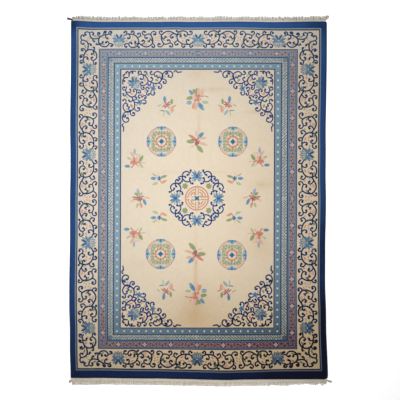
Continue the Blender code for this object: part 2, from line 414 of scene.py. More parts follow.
# Corner of the field, both arms the same: along an arm, away from it
SPANDREL_STEMS = (
    ((16.5, 5.6), (19.6, 4.6), (22.4, 4.9), (25.0, 6.9), (26.8, 9.6), (26.9, 11.8), (25.6, 14.1),
     (23.2, 15.4), (20.5, 15.5)),
    ((26.8, 10.6), (29.5, 11.8), (32.1, 13.2), (35.3, 13.6), (38.4, 12.7), (40.6, 10.0),
     (42.0, 6.9), (41.2, 4.2), (38.8, 2.4), (36.2, 1.8), (33.9, 2.9), (32.5, 4.6)),
    ((41.0, 9.0), (41.5, 5.3), (43.3, 2.6), (46.4, 1.3), (49.6, 1.6), (51.7, 3.3), (51.9, 5.6),
     (50.6, 7.5), (48.4, 7.4)),
    ((7.8, 7.1), (7.9, 4.4), (9.4, 1.9), (11.4, 1.4), (14.9, 1.7)),
    ((32.4, 13.6), (32.4, 16.8)),
    ((53.2, 2.6), (54.2, 1.2), (55.8, 1.2), (56.6, 2.4), (58.6, 2.4), (61.4, 2.0)),
)
SPANDREL_CURLS = (
    ((19.9, 4.7), (20.2, 2.4), (18.6, 1.2), (16.9, 2.0), (17.4, 3.2)),
    ((23.7, 5.4), (25.7, 3.9), (25.6, 2.2), (24.0, 2.0)),
    ((22.0, 5.0), (22.5, 7.8), (21.2, 9.8), (19.6, 9.0)),
    ((20.5, 15.5), (19.3, 13.7), (20.0, 12.1), (21.4, 12.7)),
    ((20.5, 15.5), (19.9, 17.6), (21.2, 19.5), (23.2, 19.0), (22.6, 17.4)),
    ((32.5, 4.6), (30.4, 4.8), (29.0, 3.2), (30.4, 1.9)),
    ((29.5, 11.8), (31.3, 10.6), (31.8, 8.7), (30.4, 7.8)),
    ((30.0, 12.2), (29.6, 14.9), (28.2, 15.9), (27.4, 14.7)),
    ((33.4, 4.2), (34.0, 6.4), (35.8, 6.1)),
    ((40.4, 9.4), (38.9, 7.2), (37.2, 7.8)),
    ((40.6, 9.6), (43.3, 9.2), (45.4, 10.9), (45.0, 13.4), (42.8, 13.4), (42.8, 12.1)),
    ((37.8, 13.0), (40.2, 14.5), (41.0, 16.7), (39.5, 18.7), (37.6, 18.2), (38.0, 17.0)),
    ((48.4, 7.4), (47.3, 6.8), (47.9, 5.8)),
    ((44.2, 2.0), (46.9, 2.7), (46.7, 4.2), (45.3, 4.0)),
    ((7.8, 7.1), (7.8, 4.2), (7.0, 2.1), (5.4, 1.8), (4.9, 3.0)),
    ((9.6, 1.9), (11.0, 2.0), (11.2, 3.2)),
    ((27.7, 20.8), (25.5, 20.3), (25.0, 18.3), (26.6, 17.1), (27.8, 18.3)),
    ((27.7, 20.8), (25.9, 22.4), (25.8, 24.6), (27.6, 25.3), (28.2, 24.0)),
    ((31.2, 19.6), (29.9, 22.3), (30.8, 24.8), (33.2, 24.8), (33.5, 23.0)),
)
SPANDREL_LEAVES = (
    (23.0, 8.4, 24.6, 12.4, 2.0, "apricot"),
    (34.2, 9.6, 37.6, 11.2, 1.9, "green"),
    (38.4, 4.4, 39.6, 7.0, 1.5, "apricot"),
    (42.8, 6.0, 45.6, 7.4, 1.6, "pink"),
    (26.2, 4.2, 28.4, 7.4, 1.2, "pale_green"),
    (34.2, 14.6, 36.2, 16.6, 1.5, "pink"),
    (23.4, 20.6, 24.8, 22.6, 1.2, "pink"),
)
BLOSSOM = (
    (32.2, 18.4, 29.2, 16.8, 2.2, "petal_mid"),
    (32.2, 18.4, 30.0, 21.0, 2.2, "bright_blue"),
    (32.2, 18.4, 33.4, 21.8, 2.2, "petal_mid"),
    (32.2, 18.4, 35.4, 19.0, 2.2, "bright_blue"),
    (32.2, 18.4, 34.0, 15.8, 2.2, "petal_mid"),
)
SPANDREL_LOTUS_PLACE = 12.9
SPANDREL_LOTUS_SIZE = 0.98

# One eighth of the medallion's scroll, from its centre: right, up
MEDALLION_STEMS = (
    ((7.6, 25.4), (10.6, 26.8), (13.7, 25.3), (15.0, 22.2), (14.6, 19.6), (12.5, 17.2),
     (9.5, 16.3), (6.5, 16.8)),
)
MEDALLION_CURLS = (
    ((7.6, 25.4), (6.4, 26.3), (6.4, 27.7)),
    ((7.8, 25.2), (8.2, 23.6), (9.6, 23.1)),
    ((6.5, 16.8), (7.7, 18.3), (6.9, 20.0)),
    ((6.5, 16.8), (6.3, 14.8), (4.4, 14.7)),
    ((14.9, 21.0), (13.3, 22.0), (11.8, 21.0)),
    ((15.0, 21.3), (17.0, 21.8), (18.7, 20.6), (17.7, 19.2)),
    ((14.7, 20.0), (15.2, 16.9)),
)
MEDALLION_PLACE = (-0.005, 0.003)  # against the field's middle
MEDALLION_FLOWER = 21.4
MEDALLION_SPRIG = 12.1

# Roundels: x, y from the field's middle in chart units
ROUNDELS = ((-36.6, 56.6), (35.8, 56.3), (-37.2, -54.8), (35.2, -55.9))

# A spray is petals from x, y to x, y with a width and a dye
LILY = (
    (-3.8, 0.2, 3.8, -0.6, 5.4, "pink"),
    (-5.2, 0.4, -10.2, -2.2, 2.2, "pale_green"),
    (4.5, 0.2, 5.1, 6.0, 2.9, "green"),
    (-2.0, 2.4, -2.6, 8.6, 3.3, "bright_blue"),
    (-2.8, -6.4, -3.2, -12.4, 2.0, "pale_green"),
    (-0.8, -5.6, 3.4, -10.6, 2.7, "pale_blue"),
    (-7.2, -5.6, -1.0, -6.4, 1.5, "petal_mid"),
    (4.9, -1.4, 5.2, -8.6, 3.9, "peach"),
    (5.6, -1.6, 6.0, -7.6, 1.7, "coral"),
    (5.6, -2.4, 9.4, -0.4, 1.0, "plum"),
    (-2.0, 1.0, -6.4, 1.8, 1.6, "pink"),
    (-1.6, 0.2, -5.0, -2.6, 1.5, "rose"),
    (1.0, -2.2, 3.2, -5.0, 2.0, "pink"),
    (0.2, 1.0, 3.2, 3.0, 1.5, "plum"),
    (-0.4, 0.8, -2.8, 3.0, 1.4, "plum"),
    (-0.2, -0.4, -2.6, -3.6, 1.5, "plum"),
    (0.4, -0.4, 2.0, -3.4, 1.5, "rose"),
    (-1.4, 0.2, 3.8, 0.0, 1.4, "plum"),
)
PEONY = (
    (4.2, -4.2, 12.0, -4.8, 3.6, "pale_green"),
    (-0.4, 3.0, -0.6, 9.8, 3.6, "green"),
    (-1.8, 4.0, -4.4, 8.8, 3.6, "green"),
    (-4.6, 3.0, -8.4, 7.8, 3.4, "bright_blue"),
    (-6.2, 2.4, -7.6, 7.4, 2.0, "pale_blue"),
    (-4.2, 0.6, -11.2, -1.0, 3.8, "green"),
    (-5.4, -4.0, -11.2, -5.4, 3.4, "pale_blue"),
    (-7.0, -3.2, -10.6, -4.0, 1.1, "petal_dark"),
    (-6.4, -5.6, -9.4, -6.4, 1.1, "petal_dark"),
    (1.0, -4.8, 6.8, -12.4, 4.4, "bright_blue"),
    (2.4, -7.0, 5.2, -10.4, 1.8, "petal_dark"),
    (5.0, -8.6, 7.6, -13.0, 1.8, "pale_green"),
    (-1.0, -4.8, -2.4, -12.0, 4.4, "peach"),
    (-2.6, -5.0, -4.8, -11.0, 3.4, "apricot"),
    (0.8, 3.2, 1.4, 9.8, 3.2, "peach"),
    (2.4, 2.8, 5.8, 9.2, 4.2, "pink"),
    (4.6, 2.6, 6.4, 7.0, 1.4, "apricot"),
    (2.8, 1.6, 8.0, 1.8, 0.9, "plum"),
    (7.6, 1.9, 11.6, 0.6, 0.9, "plum"),
    (-0.6, -1.4, -4.8, 2.2, 4.6, "pink"),
    (-0.6, -0.6, -4.6, -2.6, 3.8, "pink"),
    (0.0, 0.4, 3.0, 3.4, 3.8, "coral"),
    (0.0, -0.4, 4.4, -2.0, 3.6, "peach"),
    (-0.6, 0.4, -1.2, 4.4, 3.2, "coral"),
    (0.2, 1.6, 1.4, -4.8, 3.0, "coral"),
    (-1.0, -0.6, -2.8, -4.6, 2.8, "coral"),
    (0.8, 0.6, 1.4, -3.2, 1.6, "rose"),
)
ROSE = (
    (-5.0, -1.6, 4.6, 0.4, 7.0, "pink"),
    (-1.8, 4.0, -3.4, 8.6, 3.6, "pink"),
    (4.8, -2.4, 8.4, -7.6, 3.0, "pale_green"),
    (4.4, -0.8, 8.4, 5.4, 3.6, "green"),
    (-3.6, 1.2, -8.2, 3.8, 3.0, "pale_green"),
    (-0.4, 6.2, 0.0, 12.4, 2.6, "pale_blue"),
    (-0.2, 7.2, 0.2, 10.2, 1.4, "bright_blue"),
    (-0.8, 4.4, -4.6, 8.8, 2.8, "peach"),
    (-0.6, 3.8, -2.8, 7.2, 1.8, "apricot"),
    (0.6, 5.0, 3.8, 7.4, 1.6, "peach"),
    (-4.8, -5.4, -10.6, -5.2, 3.2, "bright_blue"),
    (-5.6, -5.4, -9.2, -5.3, 1.2, "petal_dark"),
    (6.4, -1.4, 11.8, -2.2, 1.2, "peach"),
    (2.6, 2.8, 6.6, 7.6, 1.0, "peach"),
    (2.0, -3.4, 4.6, -6.6, 1.0, "coral"),
    (-1.2, -4.2, -4.2, -7.2, 1.1, "plum"),
    (2.2, -0.6, 6.6, -2.6, 2.2, "coral"),
    (0.0, 0.6, 3.0, 3.8, 3.2, "peach"),
    (-0.4, 0.6, -4.4, 2.2, 3.0, "pink"),
    (0.0, 0.0, -4.8, -2.6, 3.6, "coral"),
    (0.0, -0.2, 2.4, -4.0, 3.2, "coral"),
    (-0.2, 0.0, -1.2, 3.8, 3.4, "coral"),
    (-2.4, -3.4, 1.4, -1.6, 3.4, "coral"),
    (0.6, 0.2, -2.4, -0.6, 2.2, "rose"),
)
BUDS = (
    (-3.2, 0.0, -8.8, 0.1, 3.3, "bright_blue"),
    (-3.4, 2.2, -7.2, 5.4, 2.6, "pale_green"),
    (1.6, 1.0, 8.2, 2.8, 2.8, "green"),
    (1.8, -4.8, 7.8, -1.8, 2.6, "apricot"),
    (3.2, -3.6, 6.6, -2.0, 1.2, "coral"),
    (-1.0, -4.2, -7.4, -6.4, 3.4, "pale_green"),
    (-0.2, 1.8, -0.8, 6.2, 1.8, "pink"),
    (-2.0, 1.6, -3.6, 3.6, 1.3, "coral"),
    (-0.6, -1.6, -2.2, -4.6, 1.5, "pink"),
    (0.8, -1.6, 2.4, -4.2, 1.4, "coral"),
    (-2.2, 0.2, 2.4, -0.1, 3.6, "bright_blue"),
    (0.0, -2.0, 0.3, 2.2, 2.6, "petal_dark"),
)
DAISY = (
    (-7.0, -0.8, 4.4, 0.6, 4.6, "pink"),
    (-0.4, 3.6, -2.2, 9.6, 3.0, "pale_blue"),
    (-0.8, 4.4, -1.6, 8.0, 1.4, "petal_mid"),
    (-0.8, 2.8, -5.2, 5.2, 3.0, "green"),
    (0.8, 2.8, 2.6, 6.0, 1.9, "green"),
    (3.8, -0.8, 6.8, -7.0, 3.1, "bright_blue"),
    (4.2, 1.2, 10.8, -0.1, 1.7, "peach"),
    (6.6, 1.0, 9.8, 0.4, 1.1, "apricot"),
    (-1.0, -4.4, -3.0, -10.0, 3.2, "pale_green"),
    (0.6, -3.8, 2.6, -9.8, 2.8, "apricot"),
    (-3.0, -1.0, -9.8, -3.4, 2.4, "pink"),
    (-2.4, 0.6, -7.6, 1.2, 1.7, "rose"),
    (-1.6, -0.8, -6.4, -1.4, 1.6, "plum"),
    (1.0, 1.0, 4.6, 2.4, 1.7, "rose"),
    (0.0, 0.2, 3.4, -1.2, 2.0, "plum"),
    (-0.2, 0.0, -3.2, 1.4, 2.0, "plum"),
    (0.0, 0.2, 1.0, -3.6, 2.0, "plum"),
    (-0.2, 0.0, -1.8, -3.2, 2.0, "rose"),
    (-0.2, 0.2, 0.2, 3.0, 1.8, "rose"),
)
POSY = (
    (-2.4, 0.0, -10.6, 0.0, 4.2, "green"),
    (-4.4, 0.0, -9.4, 0.0, 1.5, "pale_green"),
    (0.0, -4.0, 6.4, -11.0, 4.3, "green"),
    (2.0, -6.2, 5.6, -10.2, 1.6, "pale_green"),
    (1.2, 3.4, 7.0, 9.0, 4.0, "bright_blue"),
    (2.6, 4.8, 6.0, 8.2, 1.4, "petal_dark"),
    (3.8, 2.4, 9.8, 3.9, 2.6, "peach"),
    (5.4, 3.0, 8.6, 3.8, 1.2, "apricot"),
    (1.8, -0.8, 11.0, -3.8, 3.0, "peach"),
    (-0.6, 1.8, -8.6, 6.8, 3.0, "coral"),
    (-0.6, 1.0, -5.6, 2.4, 2.4, "rose"),
    (-0.8, 4.4, 0.2, 10.8, 3.0, "pink"),
    (-1.1, 5.2, -1.0, 11.6, 0.9, "apricot"),
    (-4.4, -3.4, -7.4, -6.8, 1.3, "pink"),
    (-2.4, -4.0, -5.6, -6.0, 1.3, "peach"),
    (0.2, 1.0, 2.4, 5.0, 2.4, "coral"),
    (0.0, 0.2, 3.6, 0.2, 2.4, "coral"),
    (0.2, 0.6, -0.6, -4.2, 3.8, "plum"),
    (0.4, 0.6, -1.4, 2.6, 2.4, "plum"),
    (-0.4, 0.0, 2.6, -2.0, 2.6, "plum"),
)
SPRAY_GROW = 1.06
# Spray, x, y from the field's middle, 1 or -1 for its way across and along
SPRAYS = (
    (PEONY, -0.4, 99.8, 1, 1),
    (PEONY, -1.2, -96.0, -1, -1),
    (LILY, -31.2, 93.0, 1, 1),
    (LILY, 30.0, 93.2, -1, 1),
    (LILY, -31.6, -91.8, 1, -1),
    (LILY, 29.8, -92.4, -1, -1),
    (POSY, -0.8, 56.6, 1, 1),
    (POSY, -2.0, -54.8, -1, -1),
    (ROSE, -63.6, 37.4, 1, 1),
    (ROSE, 62.8, 38.6, -1, 1),
    (ROSE, -64.0, -35.6, 1, -1),
    (ROSE, 62.2, -36.4, -1, -1),
    (BUDS, -38.8, 20.0, 1, 1),
    (BUDS, 37.8, 20.0, -1, 1),
    (BUDS, -38.6, -18.8, 1, -1),
    (BUDS, 37.2, -19.2, -1, -1),
    (DAISY, -58.8, 0.4, 1, 1),
    (DAISY, 56.6, 0.8, -1, 1),
)

# Flowers of the wide border and the middles between them, from the rug's middle in metres
FLOWERS_ACROSS = (-0.780, 0.003, 0.797)
MIDDLES_ACROSS = (-0.407, 0.411)
FLOWERS_ALONG = (-1.252, -0.426, 0.426, 1.252)
MIDDLES_ALONG = (-0.839, 0.0, 0.839)
SCROLL_OVERRUN = 0.016  # how far a scroll's chart starts past its middle
FLOWER_INSETS = {1: 0.008, -1: 0.002}  # at the top and at the bottom

# Warp fringe
STRIP_WIDTH = {"top": 0.015, "bottom": 0.019}
STRIP_THICKNESS = 0.004
RIGHT_END = {"top": -0.002, "bottom": 0.002}  # how far past the pile's side the strip ends
FRINGE_LENGTH = {"top": 0.045, "bottom": 0.051}
FRINGE_SPREAD = {"top": 0.20, "bottom": 0.05}
CLUMP_STEP = {"top": (0.014, 0.040), "bottom": (0.010, 0.024)}
CLUMP_DEPTH = {"top": 0.24, "bottom": 0.10}
# How much deeper the gaps between clumps grow for each metre to the right
RAGGED_RIGHT = {"top": 0.45, "bottom": 0.85}
CLUMP_PULL = {"top": 0.36, "bottom": 0.30}
COMBED_UP_TO = -0.96  # the bottom fringe lies close and even left of this x
# Tuft at each corner: reach past the pile, length, scatter, share in the dark dye, how far out it starts
TUFTS = {
    ("top", "left"): (0.043, 0.012, 0.011, 1.0, 0.001),
    ("top", "right"): (0.018, 0.024, 0.018, 0.0, 0.010),
    ("bottom", "left"): (0.018, 0.026, 0.011, 0.2, 0.004),
    ("bottom", "right"): (0.040, 0.014, 0.010, 0.2, 0.004),
}
TUFT_WIDTH = 0.012
FRINGE_SEEDS = {"top": 31, "bottom": 47}
SHORT_REACH = 0.11  # how far in from the top left corner the fringe is shorter
TUFT_ENDS = 90  # warp ends added to each tuft, in each layer
# The second yarn is cotton painted darker for the shade among the strands
YARNS = (("warp_yarn", "cotton"), ("painted_shade_yarn", "warp_tip"), ("tuft_yarn", "tuft"))
# Layers of loose warp ends: how many, how high they lie, longer by, share in the cotton painted darker
# for shade
WARP_LAYERS = (
    (1150, 0.0004, 1.00, 0.44),
    (1350, 0.0024, 0.97, 0.12),
)
WARP_THICKNESS = 0.0026
WARP_STEPS = 6
WARP_SIDES = 3


def smooth_bow(table, column):
    """A bow table as an even row of places and softened offsets."""
    rows = sorted(table)
    places = np.linspace(rows[0][0] - 0.3, rows[-1][0] + 0.3, 400)
    offsets = np.interp(places, [row[0] for row in rows], [row[column] / 1000.0 for row in rows])
    reach = np.arange(-3 * BOW_SOFTNESS, 3 * BOW_SOFTNESS, places[1] - places[0])
    weights = np.exp(-0.5 * (reach / BOW_SOFTNESS) ** 2)
    padded = np.pad(offsets, len(reach), mode="edge")
    softened = np.convolve(padded, weights / weights.sum(), mode="same")
    return places, softened[len(reach):-len(reach)]


BOWS = {
    "left": smooth_bow(SIDE_BOW, 1),
    "right": smooth_bow(SIDE_BOW, 2),
    "top": smooth_bow(END_BOW, 1),
    "bottom": smooth_bow(END_BOW, 2),
    "top line": smooth_bow(LINE_SAG, 1),
    "bottom line": smooth_bow(LINE_SAG, 2),
}


def bow(side, place):
    places, offsets = BOWS[side]
    return np.interp(place, places, offsets)


def frame_shift():
    """How far the frame's origin lies from the middle of the ideal rug."""
    low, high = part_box("rug_pile")
    left = max(row[1] for row in SIDE_BOW) / 1000.0
    top = max(row[1] for row in END_BOW) / 1000.0
    return low[0] + PILE_HALF_WIDTH + left, high[1] - HALF_LENGTH - top


SHIFT_X, SHIFT_Y = frame_shift()


def lay_end(y, real_y, field_edge, outer_edge, insets, sag):
    """Stretch the bands of one end between the field and the rug's outer edge."""
    rings = [(HALF_LENGTH, outer_edge)]
    rings += [(HALF_LENGTH - ideal, outer_edge - real - sag) for ideal, real in insets]
    rings += [(FIELD_HALF_LENGTH, field_edge)]
    for (ideal_far, real_far), (ideal_near, real_near) in zip(rings, rings[1:]):
        share = (y - ideal_near) / (ideal_far - ideal_near)
        inside = share > 0 if ideal_far == HALF_LENGTH else (share > 0) & (share <= 1)
        real_y = np.where(inside, real_near + share * (real_far - real_near), real_y)
    return real_y


def round_corners(x, y):
    """Round the pile's two right corners in the ideal plan."""
    for sign, radius in ROUNDED:
        u = np.clip(1.0 - (HALF_WIDTH - x) / radius, 0.0, 1.0)
        v = np.clip(1.0 - (HALF_LENGTH - sign * y) / radius, 0.0, 1.0)
        x = x - radius * u * (1.0 - np.sqrt(1.0 - v * v / 2))
        y = y - sign * radius * v * (1.0 - np.sqrt(1.0 - u * u / 2))
    return x, y


def lay(x, y):
    """Carry points of the ideal plan to the uneven rug, still about its own middle."""
    x, y = round_corners(np.asarray(x, float), np.asarray(y, float))
    up = (y + HALF_LENGTH) / PILE_LENGTH
    left = FIELD_LEFT[0] + up * (FIELD_LEFT[1] - FIELD_LEFT[0])
    right = FIELD_RIGHT[0] + up * (FIELD_RIGHT[1] - FIELD_RIGHT[0])
    outer_left = -HALF_WIDTH - bow("left", y)
    outer_right = HALF_WIDTH + bow("right", y)
    middle = (x + FIELD_HALF_WIDTH) / (2 * FIELD_HALF_WIDTH)
    real_x = left + middle * (right - left)
    past_left = (-FIELD_HALF_WIDTH - x) / BORDER
    past_right = (x - FIELD_HALF_WIDTH) / BORDER
    real_x = np.where(past_left > 0, left + past_left * (outer_left - left), real_x)
    real_x = np.where(past_right > 0, right + past_right * (outer_right - right), real_x)
    middle = (y + FIELD_HALF_LENGTH) / (2 * FIELD_HALF_LENGTH)
    real_y = FIELD_BOTTOM + middle * (FIELD_TOP - FIELD_BOTTOM)
    outer_top = HALF_LENGTH + bow("top", real_x)
    outer_bottom = -HALF_LENGTH - bow("bottom", real_x)
    sag_top, sag_bottom = bow("top line", real_x), bow("bottom line", real_x)
    real_y = lay_end(y, real_y, FIELD_TOP, outer_top, TOP_INSET, sag_top)
    real_y = -lay_end(-y, -real_y, -FIELD_BOTTOM, -outer_bottom, BOTTOM_INSETS, sag_bottom)
    return real_x, real_y


def pile_top(x, y):
    """Height of the pile's face over the floor, with its swells and creases."""
    height = np.full(np.shape(x), PILE_THICKNESS)
    for rise, across, along, shift in SWELLS:
        wave = shift + (2 * math.pi * x / across if across else 0.0)
        wave = wave + (2 * math.pi * y / along if along else 0.0)
        height = height + rise * np.sin(wave)
    for axis, place, depth, width in CREASES:
        wander = 0.012 * np.sin(3.1 * (y if axis == "x" else x) + 40 * place)
        away = (x if axis == "x" else y) - place - wander
        height = height + depth * np.exp(-0.5 * (away / width) ** 2)
    return height


# Materials

MOTTLE = {"navy": 0.36}
PLAIN_MOTTLE = 0.14
PATCH_GAIN = 1.6
ABRASH = 0.16  # how strongly the bands of uneven dyeing shade a dye
KNOT_GRAIN = 330.0
KNOT_DEPTH = 0.0012
MATERIALS = {}


def linear(colour, strength=DYE_STRENGTH):
    return (*(((c / 255 + 0.055) / 1.055) ** 2.4 * strength for c in colour), 1.0)


def add_node(tree, kind, inputs, **settings):
    """Add a shader node; each of its inputs gets a number or another node's output."""
    node = tree.nodes.new("ShaderNode" + kind)
    for name, value in settings.items():
        setattr(node, name, value)
    for name, value in inputs.items():
        if isinstance(value, bpy.types.NodeSocket):
            tree.links.new(value, node.inputs[name])
        else:
            node.inputs[name].default_value = value
    return node.outputs


def multiply_add(tree, value, factor, addend, clamp=False):
    inputs = {0: value, 1: factor, 2: addend}
    return add_node(tree, "Math", inputs, operation="MULTIPLY_ADD", use_clamp=clamp)[0]


def add_patches(tree, place, colour, patches, patch_colour):
    """Soft patches of another colour laid over a dye: painted shade on the navy, stains and painted
    shade on the ivory.
    """
    total = 0.0
    for x, y, half_width, half_height, strength in patches:
        inputs = {"Vector": place, "Location": (x, y, 0.0), "Scale": (half_width, half_height, 1000.0)}
        spot = add_node(tree, "Mapping", inputs, vector_type="TEXTURE")[0]
        spot = add_node(tree, "TexGradient", {"Vector": spot}, gradient_type="QUADRATIC_SPHERE")["Fac"]
        total = multiply_add(tree, spot, PATCH_GAIN * strength, total)
    cloud = add_node(tree, "TexNoise", {"Vector": place, "Scale": 9.0, "Detail": 4.0})["Fac"]
    uneven = multiply_add(tree, cloud, 1.0, 0.5)
    share = add_node(tree, "Math", {0: total, 1: uneven}, operation="MULTIPLY", use_clamp=True)[0]
    inputs = {"A": colour, "B": linear(patch_colour), "Factor": share}
    return add_node(tree, "Mix", inputs, data_type="RGBA")["Result"]


def fibre(name, dye, roughness, grain, depth, stretch=(1.0, 1.0, 1.0), strength=DYE_STRENGTH):
    """Dyed fibre: its colour changes up the rug and across it with painted sheen and shade, under
    patches of stain or painted shade on some dyes; its tufts vary in shade and height.
    """
    material = bpy.data.materials.new(name)
    material.use_nodes = True
    tree = material.node_tree
    shader = tree.nodes["Principled BSDF"]
    shader.inputs["Roughness"].default_value = roughness
    shader.inputs["Specular IOR Level"].default_value = 0.18
    shader.inputs["Sheen Weight"].default_value = 0.12
    shader.inputs["Sheen Roughness"].default_value = 0.6

    # Painted shade across the rug; for the navy also a lift up its painted sheen
    across, lift = (NAVY_SHADE_ACROSS, NAVY_LIFT) if dye == "navy" else (SHADE_ACROSS, 0.0)
    place = add_node(tree, "TexCoord", {})["Object"]
    split = add_node(tree, "SeparateXYZ", {0: place})
    # Painted sheen and shade up the rug from this ramp, and painted shade across it
    ramp = tree.nodes.new("ShaderNodeValToRGB")
    while len(ramp.color_ramp.elements) < len(SHEEN_AND_SHADE_UP):
        ramp.color_ramp.elements.new(0.5)
    for element, (position, level) in zip(ramp.color_ramp.elements, SHEEN_AND_SHADE_UP):
        element.position = position
        element.color = (level, level, level, 1.0)
    tree.links.new(multiply_add(tree, split["Y"], 1.0 / PILE_LENGTH, 0.5), ramp.inputs["Fac"])
    side = multiply_add(tree, split["X"], across, ramp.outputs["Color"])

    bands = add_node(tree, "Mapping", {"Vector": place, "Scale": (0.7, 4.0, 1.0)})[0]
    abrash = add_node(tree, "TexNoise", {"Vector": bands, "Scale": 1.6, "Detail": 3.0})["Fac"]
    lowered = add_node(tree, "Math", {0: side, 1: ABRASH / 2 - lift}, operation="SUBTRACT")[0]
    sheen_shade_and_abrash = multiply_add(tree, abrash, ABRASH, lowered, clamp=True)
    # The dye's colours at the top and bottom ends; between them lies the painted sheen and shade
    top_colour, bottom_colour = [linear(colour, strength) for colour in DYES[dye]]
    dye_and_shade = add_node(tree, "Mix", {"A": bottom_colour, "B": top_colour, "Factor": sheen_shade_and_abrash}, data_type="RGBA")["Result"]
    if dye in PATCHES:
        dye_and_shade = add_patches(tree, place, dye_and_shade, *PATCHES[dye])

    tufts = add_node(tree, "Mapping", {"Vector": place, "Scale": stretch})[0]
    knots = add_node(tree, "TexVoronoi", {"Vector": tufts, "Scale": grain})["Distance"]
    clouds = add_node(tree, "TexNoise", {"Vector": tufts, "Scale": grain / 9, "Detail": 5.0})["Fac"]
    mottle = MOTTLE.get(dye, PLAIN_MOTTLE)
    value = multiply_add(tree, clouds, mottle, 1.0 - mottle / 2)
    shade = add_node(tree, "HueSaturation", {"Value": value, "Color": dye_and_shade})[0]
    tree.links.new(shade, shader.inputs["Base Color"])
    inputs = {"Strength": 0.5, "Distance": depth, "Height": knots}
    relief = add_node(tree, "Bump", inputs, invert=True)[0]
    tree.links.new(relief, shader.inputs["Normal"])
    return material


def dye_material(dye):
    """Cut wool pile in one dye, made once."""
    if dye not in MATERIALS:
        MATERIALS[dye] = fibre("wool_" + dye, dye, 0.92, KNOT_GRAIN, KNOT_DEPTH)
    return MATERIALS[dye]


# Meshes


def new_piece(name, points, faces, materials, indices=None, smooth=False):
    mesh = bpy.data.meshes.new(name)
    mesh.from_pydata(points, [], faces)
    for material in materials:
        mesh.materials.append(material)
    if indices is not None:
        mesh.polygons.foreach_set("material_index", indices)
    mesh.polygons.foreach_set("use_smooth", [smooth] * len(mesh.polygons))
    mesh.validate()
    piece = bpy.data.objects.new(name, mesh)
    bpy.context.scene.collection.objects.link(piece)
    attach(piece, "root")
    return piece


def stands_for(piece, node):
    """Hide the solid that the piece stands in for, and return the piece."""
    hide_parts(node)
    return piece


def smooth_path(points, steps=4):
    """A Catmull-Rom curve through the points."""
    if len(points) == 2:
        return [points[0], points[1]]
    rows = [points[0], *points, points[-1]]
    path = []
    for a, b, c, d in zip(rows, rows[1:], rows[2:], rows[3:]):
        for step in range(steps):
            t = step / steps
            path.append(tuple(
                0.5 * (2 * q + (r - p) * t + (2 * p - 5 * q + 4 * r - s) * t * t
                       + (3 * q - p - 3 * r + s) * t ** 3)
                for p, q, r, s in zip(a, b, c, d)
            ))
    path.append(points[-1])
    return path


def blend(a, b, share):
    return a[0] + share * (b[0] - a[0]), a[1] + share * (b[1] - a[1])


def section_faces(rows, columns):
    """Faces over a row of open cross-sections, closed at both ends."""
    faces = []
    for row in range(rows - 1):
        for column in range(columns - 1):
            a = columns * row + column
            faces.append((a, a + columns, a + columns + 1, a + 1))
    faces.append(tuple(range(columns)))
    faces.append(tuple(range(columns * rows - 1, columns * (rows - 1) - 1, -1)))
    return faces


def tube_faces(start, rings, sides, flip=False):
    """Faces of a closed tube: its sides, its root and its tip."""
    faces = []
    for ring in range(rings - 1):
        for side in range(sides):
            a, b = (start + ring * sides + number for number in (side, (side + 1) % sides))
            faces.append((a, b, b + sides, a + sides))
    last = start + (rings - 1) * sides
    faces.append(tuple(range(start + sides - 1, start - 1, -1)))
    faces.append(tuple(range(last, last + sides)))
    return [face[::-1] for face in faces] if flip else faces


class Chart:
    """Places chart units in the ideal plan: an origin and two axes in metres."""

    def __init__(self, origin, s_axis, t_axis, room=math.inf):
        self.origin, self.s_axis, self.t_axis = origin, s_axis, t_axis
        self.room = room  # chart units along s before a corner

    def at(self, s, t):
        return tuple(o + s * a + t * b for o, a, b in zip(self.origin, self.s_axis, self.t_axis))


def side_chart(across, along, fixed, step, outward, room=math.inf):
    """A chart on a line that runs across or along the rug, its second axis away from that line."""
    if across:
        return Chart((along, fixed), (step, 0), (0, outward), room)
    return Chart((fixed, along), (0, step), (outward, 0), room)


def around(centre, radius, degrees):
    """A plan point at a radius in chart units round a centre."""
    angle = math.radians(degrees)
    return centre[0] + radius * UNIT * math.cos(angle), centre[1] + radius * UNIT * math.sin(angle)


